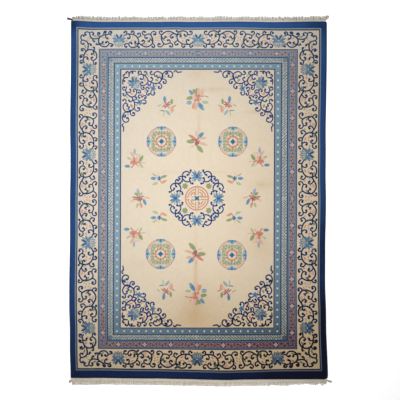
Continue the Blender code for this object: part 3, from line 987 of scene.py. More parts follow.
class Carving:
    """Figures of dyed pile, joined as one piece that stands a little over the ground."""

    def __init__(self, name):
        self.name = name
        self.plan, self.heights, self.faces, self.indices, self.dyes = [], [], [], [], []

    def add(self, places, heights, faces, dye):
        if dye not in self.dyes:
            self.dyes.append(dye)
        start = len(self.plan)
        self.plan.extend(places)
        self.heights.extend(heights)
        self.faces.extend([tuple(start + corner for corner in face) for face in faces])
        self.indices.extend([self.dyes.index(dye)] * len(faces))

    def ribbon(self, path, width, dye, layer=0.0, taper=0.75):
        """A flat stroke with cut edges along a path of plan points."""
        places, heights = [], []
        top = CARVE_TOP + layer
        for number, (x, y) in enumerate(path):
            before = path[max(number - 1, 0)]
            after = path[min(number + 1, len(path) - 1)]
            dx, dy = after[0] - before[0], after[1] - before[1]
            size = math.hypot(dx, dy) or 1.0
            along = number / (len(path) - 1)
            half = width / 2 * (taper + (1 - taper) * math.sin(math.pi * (0.15 + 0.7 * along)))
            for offset, height in ((half, CARVE_ROOT), (half - CARVE_EDGE, top),
                                   (CARVE_EDGE - half, top), (-half, CARVE_ROOT)):
                places.append((x - dy / size * offset, y + dx / size * offset))
                heights.append(height)
        self.add(places, heights, section_faces(len(path), 4), dye)

    def disc(self, centre, radius, dye, layer=0.0, sides=10):
        places, heights = [centre], [CARVE_TOP + layer + DISC_DOME]
        for ring_radius, height in ((radius - CARVE_EDGE, CARVE_TOP + layer), (radius, CARVE_ROOT)):
            for side in range(sides):
                angle = 2 * math.pi * side / sides
                places.append((centre[0] + ring_radius * math.cos(angle),
                               centre[1] + ring_radius * math.sin(angle)))
                heights.append(height)
        faces = []
        for side in range(sides):
            a, b = 1 + side, 1 + (side + 1) % sides
            faces.append((0, a, b))
            faces.append((a, a + sides, b + sides, b))
        self.add(places, heights, faces, dye)

    def petal(self, base, tip, width, dye, layer=0.0, steps=6, point=0.8):
        """A petal or leaf, a little domed, from its base to its tip; a low point is a blunt one."""
        dx, dy = tip[0] - base[0], tip[1] - base[1]
        size = math.hypot(dx, dy)
        ux, uy = dx / size, dy / size
        places, heights = [], []
        top = CARVE_TOP + layer
        for step in range(steps + 1):
            along = step / steps
            half = width / 2 * math.sin(math.pi * (0.10 + 0.86 * along)) ** point
            flat = max(half - CARVE_EDGE, THINNEST)
            x, y = base[0] + dx * along, base[1] + dy * along
            for offset, height in ((half, CARVE_ROOT), (flat, top), (0.0, top + PETAL_DOME),
                                   (-flat, top), (-half, CARVE_ROOT)):
                places.append((x - uy * offset, y + ux * offset))
                heights.append(height)
        self.add(places, heights, section_faces(steps + 1, 5), dye)

    def ring(self, centre, radius, width, dye, start=0.0, end=360.0, layer=0.0, step=12.0):
        count = max(int(abs(end - start) / step), 2)
        angles = [math.radians(start + (end - start) * n / count) for n in range(count + 1)]
        path = [(centre[0] + radius * math.cos(a), centre[1] + radius * math.sin(a)) for a in angles]
        self.ribbon(path, width, dye, layer, taper=1.0)

    def petals(self, chart, rows, layer=0.0, mirror=False, grow=1.0, edges=OUTLINES, point=0.8,
               outline=OUTLINE):
        """Petal rows of a chart, each edged and a hair above the one before it."""
        for number, (s0, t0, s1, t1, width, dye) in enumerate(rows):
            height = layer + PETAL_RISE * number
            for sign in ((1, -1) if mirror else (1,)):
                base, tip = chart.at(sign * s0, t0), chart.at(sign * s1, t1)
                self.petal(base, tip, width * UNIT * grow, edges[dye], height, point=point)
                base, tip = blend(base, tip, INNER_START), blend(tip, base, INNER_END)
                inner = max(width - outline, INNER_LEAST * width) * UNIT * grow
                self.petal(base, tip, inner, dye, height + INNER_RISE, point=point)

    def scroll(self, chart, stems, curls, width, dye, blob):
        """Stems and curls, drawn heavier towards the rug's bottom right."""
        x, y = chart.at(16.0, 0.0)
        heavier = 1.0 + HEAVIER_DOWN * max(-y, 0.0) + HEAVIER_ACROSS * max(x, 0.0)
        width, blob = width * heavier, blob * (1.0 + heavier) / 2
        for points in stems:
            self.ribbon(smooth_path([chart.at(*point) for point in points]), width, dye)
        for points in curls:
            path = smooth_path([chart.at(*point) for point in points])
            self.ribbon(path, width * 0.92, dye)
            self.disc(chart.at(*points[-1]), blob, dye)

    def finish(self):
        plan = np.array(self.plan)
        x, y = lay(plan[:, 0], plan[:, 1])
        z = pile_top(x, y) + np.array(self.heights)
        points = np.column_stack((x + SHIFT_X, y + SHIFT_Y, z)).tolist()
        materials = [dye_material(dye) for dye in self.dyes]
        piece = new_piece(self.name, points, self.faces, materials, self.indices)
        return piece


# Ground of the pile


def cell_lines(half, outside):
    """Grid lines from -half to half that fall on every band's edge."""
    marks = [half] + [outside - end for end in BAND_ENDS if outside - end < half - 0.001]
    marks = sorted(set([-mark for mark in marks] + marks + [half - RIM, RIM - half]))
    lines = [marks[0]]
    for low, high in zip(marks, marks[1:]):
        count = max(1, math.ceil((high - low) / CELL - 0.01))
        lines.extend(low + (high - low) * n / count for n in range(1, count + 1))
    return np.array(lines)


def band_of(x, y):
    inward = min(HALF_WIDTH - abs(x), HALF_LENGTH - abs(y))
    number = int(np.searchsorted(BAND_ENDS, inward))
    return BANDS[number][1] if number < len(BANDS) else "ivory"


def build_ground():
    """The whole pile as one closed sheet: dyed bands, a rounded rim and a woven back."""
    xs = cell_lines(PILE_HALF_WIDTH, HALF_WIDTH)
    ys = cell_lines(HALF_LENGTH, HALF_LENGTH)
    columns, rows = len(xs), len(ys)
    plan_x, plan_y = (plan.ravel() for plan in np.meshgrid(xs, ys))
    x, y = lay(plan_x, plan_y)
    edge = np.minimum(PILE_HALF_WIDTH - np.abs(plan_x), HALF_LENGTH - np.abs(plan_y))
    z = pile_top(x, y) - np.where(edge < RIM / 2, RIM_DROP, 0.0)
    points = np.column_stack((x + SHIFT_X, y + SHIFT_Y, z)).tolist()

    dyes, faces, indices = [], [], []
    for row in range(rows - 1):
        for column in range(columns - 1):
            dye = band_of((xs[column] + xs[column + 1]) / 2, (ys[row] + ys[row + 1]) / 2)
            if dye not in dyes:
                dyes.append(dye)
            a = row * columns + column
            faces.append((a, a + 1, a + columns + 1, a + columns))
            indices.append(dyes.index(dye))

    rim = list(range(columns))
    rim += [row * columns + columns - 1 for row in range(1, rows)]
    rim += [(rows - 1) * columns + column for column in range(columns - 2, -1, -1)]
    rim += [row * columns for row in range(rows - 2, 0, -1)]
    loops = [rim]
    for height, inset in RIM_LOOPS:
        narrower, shorter = 1 - inset / HALF_WIDTH, 1 - inset / HALF_LENGTH
        loops.append(list(range(len(points), len(points) + len(rim))))
        points += [(points[corner][0] * narrower, points[corner][1] * shorter, height) for corner in rim]
    for upper, lower in zip(loops, loops[1:]):
        for number in range(len(rim)):
            after = (number + 1) % len(rim)
            faces.append((upper[after], upper[number], lower[number], lower[after]))
            indices.append(dyes.index("navy"))
    faces.append(tuple(reversed(loops[-1])))
    indices.append(len(dyes))
    materials = [dye_material(dye) for dye in dyes]
    materials.append(fibre("woven_back", "back", 0.9, 260.0, 0.0008, (1.0, 2.0, 1.0)))
    ground = new_piece("pile_ground", points, faces, materials, indices, smooth=True)
    return stands_for(ground, "rug_pile")


# Scroll border with its flowers

SCROLL_WIDTH = 1.5 * UNIT
SCROLL_BLOB = 1.22 * UNIT
HEAVIER_DOWN = 0.13  # share by which strokes widen for each metre down from the rug's middle
HEAVIER_ACROSS = 0.06
FLOWER_UNIT = 1.08 * UNIT
LEAF_GROW = 1.1
BLUNT = 0.6
CORNERS = ((1, 1), (1, -1), (-1, 1), (-1, -1))


def middle_of(first, last):
    """Inset of the middle of a run of bands, from the end of one to the end of another."""
    return float(BAND_ENDS[first] + BAND_ENDS[last]) / 2


ACROSS_BAND = HALF_LENGTH - middle_of(2, 3)
ALONG_BAND = HALF_WIDTH - middle_of(2, 3)


def flower_charts():
    """A chart at every flower of the wide border, with its second axis outwards."""
    charts = []
    for sign in (1, -1):
        outward = sign * FLOWER_UNIT
        fixed = sign * (ACROSS_BAND - FLOWER_INSETS[sign])
        charts += [side_chart(True, x, fixed, FLOWER_UNIT, outward) for x in FLOWERS_ACROSS]
        fixed = sign * ALONG_BAND
        charts += [side_chart(False, y, fixed, FLOWER_UNIT, outward) for y in FLOWERS_ALONG]
    return charts


def scroll_charts():
    """A chart for each half of the scroll between two flowers, turned over next to a corner."""
    charts = []
    for places, middles, fixed, across in (
        (FLOWERS_ACROSS, MIDDLES_ACROSS, ACROSS_BAND, True),
        (FLOWERS_ALONG, MIDDLES_ALONG, ALONG_BAND, False),
    ):
        for low, middle, high in zip(places, middles, places[1:]):
            for way, flower in ((-1, low), (1, high)):
                over = -1 if flower in (places[0], places[-1]) else 1
                step = way * (abs(flower - middle) + SCROLL_OVERRUN) / UNIT_LENGTH
                start = middle - way * SCROLL_OVERRUN
                for sign in (1, -1):
                    charts.append(side_chart(across, start, sign * fixed, step, sign * over * UNIT))
    return charts


def corner_charts():
    """Two charts for each corner, one for each arm."""
    charts = []
    across = (ALONG_BAND - FLOWERS_ACROSS[-1]) / CORNER_LENGTH
    along = (ACROSS_BAND - FLOWERS_ALONG[-1]) / CORNER_LENGTH
    for sx, sy in CORNERS:
        x, y = sx * ALONG_BAND, sy * ACROSS_BAND
        charts.append(side_chart(True, x, y, -sx * across, sy * UNIT))
        charts.append(side_chart(False, y, x, -sy * along, sx * UNIT))
    return charts


def draw_lotus(flowers, chart, rows, heart, grow=1.0):
    edges = LOTUS_EDGES if rows is BORDER_LOTUS else OUTLINES
    outline = LOTUS_OUTLINE if rows is BORDER_LOTUS else OUTLINE
    flowers.petals(chart, rows, 0.0, True, grow, edges, BLUNT, outline)
    if rows is BORDER_LOTUS:
        flowers.petals(chart, LOTUS_BUD, 0.0005, False, grow, edges, BLUNT, outline)
    for s, t, radius, dye in heart:
        flowers.disc(chart.at(s, t), radius * UNIT * grow, dye, 0.0008)


def build_border(scrolls, flowers):
    for charts, stems, curls, leaves in (
        (scroll_charts(), SIDE_STEMS, SIDE_CURLS, SIDE_LEAVES),
        (corner_charts(), CORNER_STEMS, CORNER_CURLS, CORNER_LEAVES),
    ):
        for chart in charts:
            scrolls.scroll(chart, stems, curls, SCROLL_WIDTH, "scroll_navy", SCROLL_BLOB)
            flowers.petals(chart, leaves, grow=LEAF_GROW)
    for chart in flower_charts():
        draw_lotus(flowers, chart, BORDER_LOTUS, LOTUS_HEART)


# Guard borders

FRET_CELL = 26.6 * UNIT
FRET_TURN = 4.6  # chart units that the fret's corner takes up
FRET_MIDDLE = middle_of(5, 6)
FRET_FIGURE = ((-1.3, 2.1), (0.8, 2.1), (1.1, 0.6), (-0.4, 0.0), (-0.7, -1.5), (0.9, -2.1))
FRET_FIGURES = ((3.6, 1), (6.8, -1), (10.0, 1), (13.3, -1), (16.6, 1), (19.8, -1), (23.0, 1))
FRET_HALF = 13  # figures past this place of a cell are turned over
FRET_CORNER = (((-3.4, 1.9), (1.9, 1.9), (1.9, -3.4)), ((-3.0, -0.2), (-0.3, -0.3), (-0.2, -3.0)))
ROSETTE = (
    (0.3, 0.0, 2.2, 0.0, 2.2, "pink"),
    (0.0, 0.3, 0.0, 2.4, 2.2, "pink"),
    (-0.3, 0.0, -2.2, 0.0, 2.2, "pink"),
    (0.0, -0.3, 0.0, -2.4, 2.2, "pink"),
)
VINE_MIDDLE = middle_of(8, 9)
VINE_STEP = 3.1 * UNIT
VINE_SEED = 7
VINE_USUAL = 0.68  # share of the vine's cells that lean the usual way
VINE_DASHES = (
    (-1.5, -1.9, -0.2, 0.2), (0.2, 0.3, 1.2, 2.2), (0.5, -2.2, 1.3, -0.5), (-1.5, 1.0, -0.6, 2.3),
)
PEARL_MIDDLE = middle_of(11, 12)
PEARL_STEP = 7.25 * UNIT
PEARL_START = 3.6 * UNIT  # of the first pearl from the middle of a long side


def run_charts(inward, pitch, offsets=(0.0, 0.0), fit=True, corners=False):
    """Charts along the four sides of a frame, mirrored about each side's middle."""
    half_x, half_y = HALF_WIDTH - inward, HALF_LENGTH - inward
    charts = []
    for half, fixed, offset, across in (
        (half_x, half_y, offsets[0], True),
        (half_y, half_x, offsets[1], False),
    ):
        count = round((half - offset) / pitch) if fit else math.ceil((half - offset) / pitch)
        step = (half - offset) / count if fit else pitch
        for number in range(count + (1 if corners and across else 0)):
            place = offset + step * number
            room = (half - place) / UNIT
            for way in (1, -1):
                charts += [
                    side_chart(across, way * place, sign * fixed, way * UNIT, sign * UNIT, room)
                    for sign in (1, -1)
                ]
    return charts


def frame_corners(inward):
    """A chart at each corner of a frame, its axes pointing outwards."""
    x, y = HALF_WIDTH - inward, HALF_LENGTH - inward
    return [Chart((sx * x, sy * y), (sx * UNIT, 0), (0, sy * UNIT)) for sx, sy in CORNERS]


def build_fret(guards):
    for chart in run_charts(FRET_MIDDLE, FRET_CELL, fit=False):
        guards.petals(chart, ROSETTE, 0.0002)
        guards.disc(chart.at(0, 0), 0.8 * UNIT, "coral", 0.0004)
        for place, way in FRET_FIGURES:
            if place > chart.room - FRET_TURN:
                continue
            turn = 1 if place < FRET_HALF else -1
            figure = [chart.at(place + s * turn, way * t) for s, t in FRET_FIGURE]
            guards.ribbon(smooth_path(figure, 3), 0.9 * UNIT, "orange", taper=0.9)
            guards.disc(chart.at(place - 0.9, way * -1.9), 0.5 * UNIT, "peach", 0.0001, 8)
            guards.disc(chart.at(place + 1.6, way * -0.4), 0.5 * UNIT, "scroll_navy", 0.0001, 8)
    for chart in frame_corners(FRET_MIDDLE):
        for bend in FRET_CORNER:
            guards.ribbon([chart.at(*point) for point in bend], 1.0 * UNIT, "orange", taper=1.0)
        guards.disc(chart.at(-2.2, -2.2), 0.7 * UNIT, "peach", 0.0001, 8)


def build_vine(guards):
    draw = random.Random(VINE_SEED)
    for chart in run_charts(VINE_MIDDLE, VINE_STEP):
        turn = 1 if draw.random() < VINE_USUAL else -1
        for s0, t0, s1, t1 in VINE_DASHES:
            lean = draw.uniform(-0.5, 0.5)
            dash = [chart.at(turn * (s0 + lean), t0), chart.at(turn * (s1 - lean), t1)]
            guards.ribbon(dash, draw.uniform(0.5, 0.8) * UNIT, "vine", taper=1.0)
        for reach, t, dye in ((0.4, -1.6, "tan"), (0.2, 1.7, "petal_dark")):
            guards.disc(chart.at(draw.uniform(-reach, reach), t), 0.5 * UNIT, dye, 0.0001, 6)


def build_guards(guards):
    """Orange fret with rosettes, the pale herringbone vine and the row of pearls."""
    build_fret(guards)
    build_vine(guards)
    for chart in run_charts(PEARL_MIDDLE, PEARL_STEP, (0.0, PEARL_START), corners=True):
        guards.disc(chart.at(0, 0), 0.98 * UNIT, "pearl", 0.0002, 12)
        guards.petal(chart.at(-2.3, 0), chart.at(-5.0, 0), 1.2 * UNIT, "bright_blue")


# Field

BLOSSOM_PLACE = (32.2, 18.4)
SPANDREL_STROKE = 0.94  # of its scroll against the border's
FRET_RINGS = ((9.1, 15, 75), (6.6, 21, 69))  # arcs in each quarter: radius, from, to
FRET_BARS = (
    ((3.4, 1.3), (11.4, 1.3)),
    ((3.4, -1.3), (11.4, -1.3)),
    ((8.8, 2.4), (8.8, 1.4)),
    ((6.2, 2.4), (3.4, 2.4), (3.4, 1.3)),
    ((4.3, 4.3), (5.6, 5.6)),
)
FRET_BAR = 1.2

# Rings of a roundel: radius, width, dye
ROUNDEL_RINGS = ((14.4, 0.6, "plum"), (13.4, 1.2, "pink"), (12.5, 0.4, "rose"))
# A crescent's rows from the rim inwards: radius, width, dye, half angle
CRESCENT = (
    (14.5, 1.2, "petal_mid", 19),
    (13.5, 1.4, "bright_blue", 16),
    (12.4, 1.4, "petal_mid", 11),
    (11.4, 1.2, "pale_blue", 6),
)
SIDE_CRESCENT = 1.15  # how much longer those at the left and right are
# The petals over a crescent: radius of base and tip, width, dye, layer
CRESCENT_PETALS = (
    (14.9, 10.6, 5.0, "pale_blue", 0.0001),
    (14.9, 11.4, 3.6, "bright_blue", 0.0002),
    (14.7, 11.8, 1.8, "teal", 0.0004),
)
KEY_DYES = ("leaf_edge", "pearl", "green", "pearl", "sage", "peach")


def field_chart(x, y, across=1, along=1):
    """A chart in the field, x and y in units from the field's middle."""
    return Chart((x * UNIT, y * UNIT), (across * UNIT, 0), (0, along * UNIT))


def build_spandrels(scrolls, flowers):
    width, blob = SCROLL_WIDTH * SPANDREL_STROKE, SCROLL_BLOB * SPANDREL_STROKE
    turn = UNIT * SPANDREL_LOTUS_SIZE * math.sqrt(0.5)
    for sx, sy in CORNERS:
        corner = (sx * FIELD_HALF_WIDTH, sy * FIELD_HALF_LENGTH)
        across, along = (-sx * UNIT, 0), (0, -sy * UNIT)
        for chart in (Chart(corner, across, along), Chart(corner, along, across)):
            scrolls.scroll(chart, SPANDREL_STEMS, SPANDREL_CURLS, width, "corner_navy", blob)
            flowers.petals(chart, SPANDREL_LEAVES, grow=1.2)
            flowers.petals(chart, BLOSSOM)
            flowers.disc(chart.at(*BLOSSOM_PLACE), 1.1 * UNIT, "petal_dark", 0.0006)
        arms = Chart(corner, across, along)
        middle = arms.at(SPANDREL_LOTUS_PLACE, SPANDREL_LOTUS_PLACE)
        chart = Chart(middle, (sx * turn, -sy * turn), (sx * turn, sy * turn))
        draw_lotus(flowers, chart, BORDER_LOTUS, LOTUS_HEART, SPANDREL_LOTUS_SIZE)
        flowers.disc(arms.at(16.4, 16.4), 1.3 * UNIT, "petal_mid", 0.0002)


def build_medallion(scrolls, flowers):
    cx, cy = MEDALLION_PLACE
    for sx, sy in CORNERS:
        for axes in (((sx * UNIT, 0), (0, sy * UNIT)), ((0, sy * UNIT), (sx * UNIT, 0))):
            scrolls.scroll(Chart((cx, cy), *axes), MEDALLION_STEMS, MEDALLION_CURLS,
                           SCROLL_WIDTH, "medallion_navy", SCROLL_BLOB)
        sprig = (cx + sx * MEDALLION_SPRIG * UNIT, cy + sy * MEDALLION_SPRIG * UNIT)
        flowers.disc(sprig, 1.9 * UNIT, "leaf_edge", -0.0003, 12)
        for petal in range(6):
            flowers.petal(sprig, around(sprig, 3.2, 60 * petal + 15), 2.6 * UNIT, "green")
        flowers.disc(sprig, 0.8 * UNIT, "tan", 0.0006)
    for ox, oy in ((0, 1), (0, -1), (1, 0), (-1, 0)):
        middle = (cx + ox * MEDALLION_FLOWER * UNIT, cy + oy * MEDALLION_FLOWER * UNIT)
        chart = Chart(middle, (oy * UNIT, ox * UNIT), (ox * UNIT, oy * UNIT))
        draw_lotus(flowers, chart, MEDALLION_LOTUS, ((0.0, 0.2, 1.1, "petal_dark"),))
    build_fret_roundel(flowers, (cx, cy))


def build_fret_roundel(flowers, centre):
    """Round fret at the medallion's heart: a ring, crossed bars and nested key arcs."""
    cx, cy = centre
    bar = FRET_BAR * UNIT
    flowers.ring(centre, 11.6 * UNIT, 1.4 * UNIT, "russet", step=8)
    for quarter in range(4):
        turn = 90 * quarter
        for radius, start, end in FRET_RINGS:
            flowers.ring(centre, radius * UNIT, bar, "russet", turn + start, turn + end, step=8)
        c, s = math.cos(math.radians(turn)), math.sin(math.radians(turn))
        chart = Chart(centre, (c * UNIT, s * UNIT), (-s * UNIT, c * UNIT))
        for points in FRET_BARS:
            flowers.ribbon([chart.at(*point) for point in points], bar * 0.9, "russet", taper=1.0)
    for sx, sy in CORNERS:
        tip = (cx + sx * 2.5 * UNIT, cy + sy * 2.2 * UNIT)
        flowers.petal(centre, tip, 2.3 * UNIT, "teal", 0.0002)
    flowers.disc(centre, 1.1 * UNIT, "petal_dark", 0.0004)


def build_roundel(flowers, x, y):
    """Roundel: a thin ring with four blue crescents, a green key square and a coral ring."""
    centre = field_chart(x, y).at(0, 0)
    for radius, width, dye in ROUNDEL_RINGS:
        flowers.ring(centre, radius * UNIT, width * UNIT, dye, step=6)
    for quarter in range(4):
        turn = 90 * quarter
        longer = SIDE_CRESCENT if quarter % 2 == 0 else 1.0
        for radius, width, dye, reach in CRESCENT:
            start, end = turn - reach * longer, turn + reach * longer
            flowers.ring(centre, radius * UNIT, width * UNIT, dye, start, end, 0.0001, 6)
        for base, tip, width, dye, layer in CRESCENT_PETALS:
            ends = around(centre, base, turn), around(centre, tip, turn)
            flowers.petal(*ends, width * UNIT, dye, layer)
        for side in (-11, 11):
            flowers.disc(around(centre, 13.0, turn + side), 0.5 * UNIT, "pearl", 0.0003, 8)
    build_key_square(flowers, centre)
    flowers.disc(centre, 6.3 * UNIT, "ivory", 0.0003, 40)
    for lobe in range(12):
        dye = "rose" if lobe % 2 else "coral"
        flowers.disc(around(centre, 5.5, 30 * lobe), 1.15 * UNIT, dye, 0.0005, 8)
    flowers.ring(centre, 5.1 * UNIT, 1.5 * UNIT, "russet", step=15, layer=0.0006)
    flowers.ring(centre, 4.2 * UNIT, 0.7 * UNIT, "pink", step=15, layer=0.0007)
    flowers.disc(centre, 3.9 * UNIT, "ivory", 0.0006, 8)
    for quarter in range(4):
        flowers.disc(around(centre, 2.7, 90 * quarter), 0.85 * UNIT, "sage", 0.0008, 8)
    flowers.disc(centre, 3.1 * UNIT, "petal_mid", 0.0010, 4)
    flowers.disc(centre, 1.9 * UNIT, "petal_dark", 0.0013, 8)
    flowers.disc(centre, 0.8 * UNIT, "teal", 0.0016, 8)


def build_key_square(flowers, centre):
    """Round-cornered square of small green and ivory keys, ring inside ring."""
    def rim(share, degrees):
        return around(centre, share * (9.7 + 2.2 * math.sin(math.radians(2 * degrees)) ** 2), degrees)

    for share in (0.92, 0.76):
        path = [rim(share, 6 * step) for step in range(61)]
        flowers.ribbon(path, 2.6 * UNIT, "sage", -0.0001, taper=1.0)
    for layer, share in enumerate((1.0, 0.88, 0.76, 0.66)):
        count = 48 - 8 * layer
        for key in range(count):
            degrees = 360 * (key + 0.5 * (layer % 2)) / count
            stroke = [rim(share - 0.05, degrees), rim(share + 0.05, degrees)]
            dye = KEY_DYES[(key + layer) % len(KEY_DYES)]
            flowers.ribbon(stroke, 0.75 * UNIT, dye, 0.0001, taper=1.0)


def build_field(flowers):
    for x, y in ROUNDELS:
        build_roundel(flowers, x, y)
    for rows, x, y, across, along in SPRAYS:
        chart = field_chart(x, y, across, along)
        flowers.petals(chart, rows, grow=SPRAY_GROW, edges=EDGES, point=BLUNT)


# Side cords

CORD_WRAP = 0.0055  # of one turn of wool along the cord
CORD_STEP = 0.0019
CORD_SIDES = 8
# How far short of its solid's ends the left cord stops, clear of the fringe's roots
LEFT_CORD_STOPS = (0.010, 0.012)


def build_side_cord(name, sign, node, material):
    """Cord wrapped in wool, its turns slanting round it."""
    radius = CORD_DIAMETER / 2
    (_, low, _), (_, high, _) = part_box(node)
    count = int((high - low) / CORD_STEP)
    ideal = np.linspace(0.001 - HALF_LENGTH, HALF_LENGTH - 0.001, count)
    inner, ys = lay(np.full(count, sign * PILE_HALF_WIDTH), ideal)
    run_x, run_y = np.gradient(inner), np.gradient(ys)
    run = np.hypot(run_x, run_y)
    xs = inner + sign * run_y / run * (GAP + radius)
    ys = np.clip(ys - sign * run_x / run * (GAP + radius), low - SHIFT_Y, high - SHIFT_Y)
    if sign < 0:
        ends = (low - SHIFT_Y + LEFT_CORD_STOPS[0], high - SHIFT_Y - LEFT_CORD_STOPS[1])
        ys = np.interp(ys, (ys[0], ys[-1]), ends)
    points = []
    for x, y in zip(xs, ys):
        for side in range(CORD_SIDES):
            angle = 2 * math.pi * (side + 0.5) / CORD_SIDES
            swell = 0.97 + 0.03 * math.sin(2 * math.pi * y / CORD_WRAP + angle)
            points.append((x + radius * swell * math.cos(angle) + SHIFT_X, y + SHIFT_Y,
                           radius + radius * swell * math.sin(angle)))
    cord = new_piece(name, points, tube_faces(0, count, CORD_SIDES), [material], smooth=True)
    return stands_for(cord, node)


# Warp fringe

STRIP_WARPS = 640
STRIP_RIB = 0.82  # height of every other warp of the strip against its neighbours
# Section of the strip, away from the pile: share of its width, share of its thickness
STRIP_SECTION = ((0.0, 0.0), (0.0, 0.85), (0.3, 1.0), (0.7, 0.98), (1.0, 0.75), (1.0, 0.0))
ROOT = 0.002  # how far a warp end reaches back into the strip
PULL_LIMIT = 0.012
SWAY, SWAY_LENGTH, SWAY_SCATTER = 0.005, 0.47, 0.0025
BOTTOM_SPREAD = 0.22  # more spread at the bottom's right end
SHORTER = 0.45  # how much shorter the fringe is at the top left corner
DARKER = 0.35  # share of dark warp ends added there


def end_y(end, x):
    sign = 1 if end == "top" else -1
    return sign * (HALF_LENGTH + bow(end, x))


def build_strip(end, sign, points, faces):
    """Narrow flat weave against the pile, ribbed by its warps."""
    left = lay(-PILE_HALF_WIDTH, sign * HALF_LENGTH)[0]
    right = lay(PILE_HALF_WIDTH, sign * (HALF_LENGTH - ROUNDED[0][1] - ROUNDED[1][1]))[0]
    right = max(right, -left) + RIGHT_END[end]
    for number, x in enumerate(np.linspace(left, right, STRIP_WARPS)):
        rib = 1.0 if number % 2 else STRIP_RIB
        base = end_y(end, x) + sign * GAP
        for along, height in STRIP_SECTION:
            points.append((x + SHIFT_X, base + sign * STRIP_WIDTH[end] * along + SHIFT_Y,
                           STRIP_THICKNESS * height * (rib if height > 0.8 else 1.0)))
    faces.extend(tube_faces(0, STRIP_WARPS, len(STRIP_SECTION), flip=sign < 0))
    return float(left), float(right)


def warp_end(draw, end, sign, share, edges, clumps, lift, longer, in_tuft):
    """Middle line of one loose warp end, and how likely it is in the tuft's dark dye."""
    left, right = edges
    x = left + share * (right - left)
    middle, depth = min(clumps, key=lambda clump: abs(clump[0] - x))
    combed = end == "bottom" and x < COMBED_UP_TO
    spread = FRINGE_SPREAD[end]
    if end == "bottom":
        spread += BOTTOM_SPREAD * min(max((x - 0.2) / 0.8, 0.0), 1.0)
        depth = 1.0 if combed else depth
    length = FRINGE_LENGTH[end] * longer * depth * (1.0 - spread * draw.random() ** 1.5)
    pull = max(-PULL_LIMIT, min(PULL_LIMIT, middle - x)) * CLUMP_PULL[end] * draw.uniform(0.5, 1.0)
    lean = SWAY * math.sin(2 * math.pi * x / SWAY_LENGTH) + draw.uniform(-SWAY_SCATTER, SWAY_SCATTER)
    sway = lean if combed else pull + lean
    side, inward, outward = ("left", x - left, -1) if x < 0 else ("right", right - x, 1)
    reach, tuft_length, scatter, tuft_dark, tuft_start = TUFTS[end, side]
    dark, start = 0.0, STRIP_WIDTH[end] - ROOT
    if side == "left" and end == "top":
        length *= 1.0 - SHORTER + SHORTER * min(inward / SHORT_REACH, 1.0)
        dark = max(DARKER * (1.0 - inward / SHORT_REACH), 0.0)
    if in_tuft:
        sway = outward * (inward + reach) + draw.uniform(-scatter, scatter)
        length = tuft_length + draw.uniform(-scatter, scatter)
        dark = max(dark, tuft_dark)
    wave, turn = draw.uniform(0.0004, 0.0018), draw.uniform(0, 2 * math.pi)
    if in_tuft:
        start = tuft_start + draw.uniform(0.0, scatter)
    start_y = end_y(end, x) + sign * (GAP + start)
    path = []
    for step in range(WARP_STEPS + 1):
        along = step / WARP_STEPS
        sideways = sway * along ** 1.3 + wave * along * math.sin(turn + 5 * along)
        height = WARP_THICKNESS / 2 + lift * (1 - 0.8 * along ** 2)
        path.append((x + sideways, start_y + sign * (length + ROOT) * along, height))
    return path, dark


def fringe_clumps(draw, end, edges):
    """Middles of the fringe's clumps, and how long each is as a share."""
    clumps = []
    place = edges[0]
    while place < edges[1]:
        ragged = CLUMP_DEPTH[end] + RAGGED_RIGHT[end] * max(place - 0.6, 0.0)
        clumps.append((place, 1.0 - ragged * draw.random() ** 1.4))
        place += draw.uniform(*CLUMP_STEP[end])
    return clumps


def build_fringe(end, sign, materials):
    """Flat-woven strip of one end and its loose warp ends, with a tuft at each corner."""
    points, faces = [], []
    edges = build_strip(end, sign, points, faces)
    indices = [0] * len(faces)
    draw = random.Random(FRINGE_SEEDS[end])
    clumps = fringe_clumps(draw, end, edges)
    for count, lift, longer, shade_share in WARP_LAYERS:
        shares = [(number + 0.5 + draw.uniform(-0.4, 0.4)) / count for number in range(count)]
        tuft = [draw.uniform(0.0, TUFT_WIDTH) / (edges[1] - edges[0]) for _ in range(2 * TUFT_ENDS)]
        shares += tuft[:TUFT_ENDS] + [1.0 - share for share in tuft[TUFT_ENDS:]]
        for number, share in enumerate(shares):
            height = lift + draw.uniform(0.0, 0.0012)
            path, tuft_dark = warp_end(draw, end, sign, share, edges, clumps, height, longer,
                                       in_tuft=number >= count)
            warp = tube_faces(len(points), WARP_STEPS + 1, WARP_SIDES, flip=sign > 0)
            for step, (x, y, z) in enumerate(path):
                radius = WARP_THICKNESS / 2 * (1.0 - 0.45 * (step / WARP_STEPS) ** 3)
                for side in range(WARP_SIDES):
                    angle = 2 * math.pi * (side + 0.25) / WARP_SIDES
                    points.append((x + radius * math.cos(angle) + SHIFT_X, y + SHIFT_Y,
                                   max(z + radius * math.sin(angle), 0.0)))
            # Some warp ends take the cotton painted darker for shade
            dye = 2 if draw.random() < shade_share else 1
            dye = 3 if draw.random() < tuft_dark else dye
            faces += warp
            indices += [dye] * len(warp)
    fringe = new_piece("warp_fringe_" + end, points, faces, materials, indices, smooth=True)
    return stands_for(fringe, "fringe_" + end)


# Floor, light and camera

PIXEL = 0.009766  # metres of rug for a pixel of the photograph
PICTURE = 400
PICTURE_CENTRE = (0.0195, 0.002)  # of the photograph, from the ideal rug's middle
LENS = 100.0
SENSOR = 36.0
SKY = 0.06
FLOOR_SIZE = 60.0
SOFTBOX_SIZE = (2.6, 3.4)
SOFTBOX_PLACE = (-0.2, 0.2, 2.0)
SOFTBOX_POWER = 74.0
FLOOR_SHADE = 0.93
FLOOR_GLOW = 0.70  # keeps the floor white as in the photograph


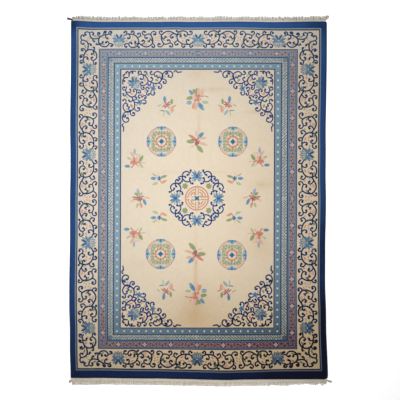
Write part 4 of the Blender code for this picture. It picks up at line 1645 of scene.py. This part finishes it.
def build_stage():
    bpy.ops.mesh.primitive_plane_add(size=FLOOR_SIZE, location=(0, 0, -0.0005))
    floor = bpy.context.object
    floor.name = "floor"
    material = bpy.data.materials.new("plain_floor")
    material.use_nodes = True
    shader = material.node_tree.nodes["Principled BSDF"]
    shader.inputs["Base Color"].default_value = (FLOOR_SHADE, FLOOR_SHADE, FLOOR_SHADE, 1.0)
    shader.inputs["Roughness"].default_value = 0.9
    shader.inputs["Emission Color"].default_value = (1.0, 1.0, 1.0, 1.0)
    shader.inputs["Emission Strength"].default_value = FLOOR_GLOW
    floor.data.materials.append(material)
    return floor


def build_light():
    """One broad softbox over the rug, a little towards its top left, and a faint sky."""
    world = bpy.data.worlds.new("studio")
    bpy.context.scene.world = world
    world.use_nodes = True
    world.node_tree.nodes["Background"].inputs["Color"].default_value = (1.0, 1.0, 1.0, 1.0)
    world.node_tree.nodes["Background"].inputs["Strength"].default_value = SKY
    light = bpy.data.lights.new("softbox", "AREA")
    light.shape = "RECTANGLE"
    light.size, light.size_y = SOFTBOX_SIZE
    light.energy = SOFTBOX_POWER
    lamp = bpy.data.objects.new("softbox", light)
    lamp.location = SOFTBOX_PLACE
    lamp.visible_camera = False
    bpy.context.scene.collection.objects.link(lamp)
    bpy.context.scene.view_settings.view_transform = "Standard"


def build_camera():
    camera = bpy.data.cameras.new("camera")
    camera.lens = LENS
    camera.sensor_width = SENSOR
    view = bpy.data.objects.new("camera", camera)
    height = PIXEL * PICTURE / 2 / (SENSOR / 2 / LENS)
    view.location = (PICTURE_CENTRE[0] + SHIFT_X, PICTURE_CENTRE[1] + SHIFT_Y, height)
    camera.clip_end = 8 * height  # far enough for the floor in a low view
    bpy.context.scene.collection.objects.link(view)
    bpy.context.scene.camera = view


def main():
    build_camera()
    build_light()
    floor = build_stage()
    ground = build_ground()
    scrolls, flowers, guards = Carving("scroll_work"), Carving("flowers"), Carving("guard_figures")
    build_border(scrolls, flowers)
    build_spandrels(scrolls, flowers)
    build_medallion(scrolls, flowers)
    build_field(flowers)
    build_guards(guards)
    carvings = [scrolls.finish(), flowers.finish(), guards.finish()]
    cord_wool = fibre("wool_wrapping", "cord_navy", 0.85, 420.0, 0.0006, (1.0, 3.0, 1.0))
    cottons = [fibre("flat_weave", "warp_end", 0.9, 420.0, 0.0006, (2.0, 1.0, 1.0), COTTON_STRENGTH)]
    for name, dye in YARNS:
        cottons.append(fibre(name, dye, 0.9, 700.0, 0.0005, (3.0, 1.0, 1.0), COTTON_STRENGTH))
    trims = [
        build_side_cord("wrapped_cord_left", -1, "side_cord_left", cord_wool),
        build_side_cord("wrapped_cord_right", 1, "side_cord_right", cord_wool),
        build_fringe("top", 1, cottons),
        build_fringe("bottom", -1, cottons),
    ]


main()
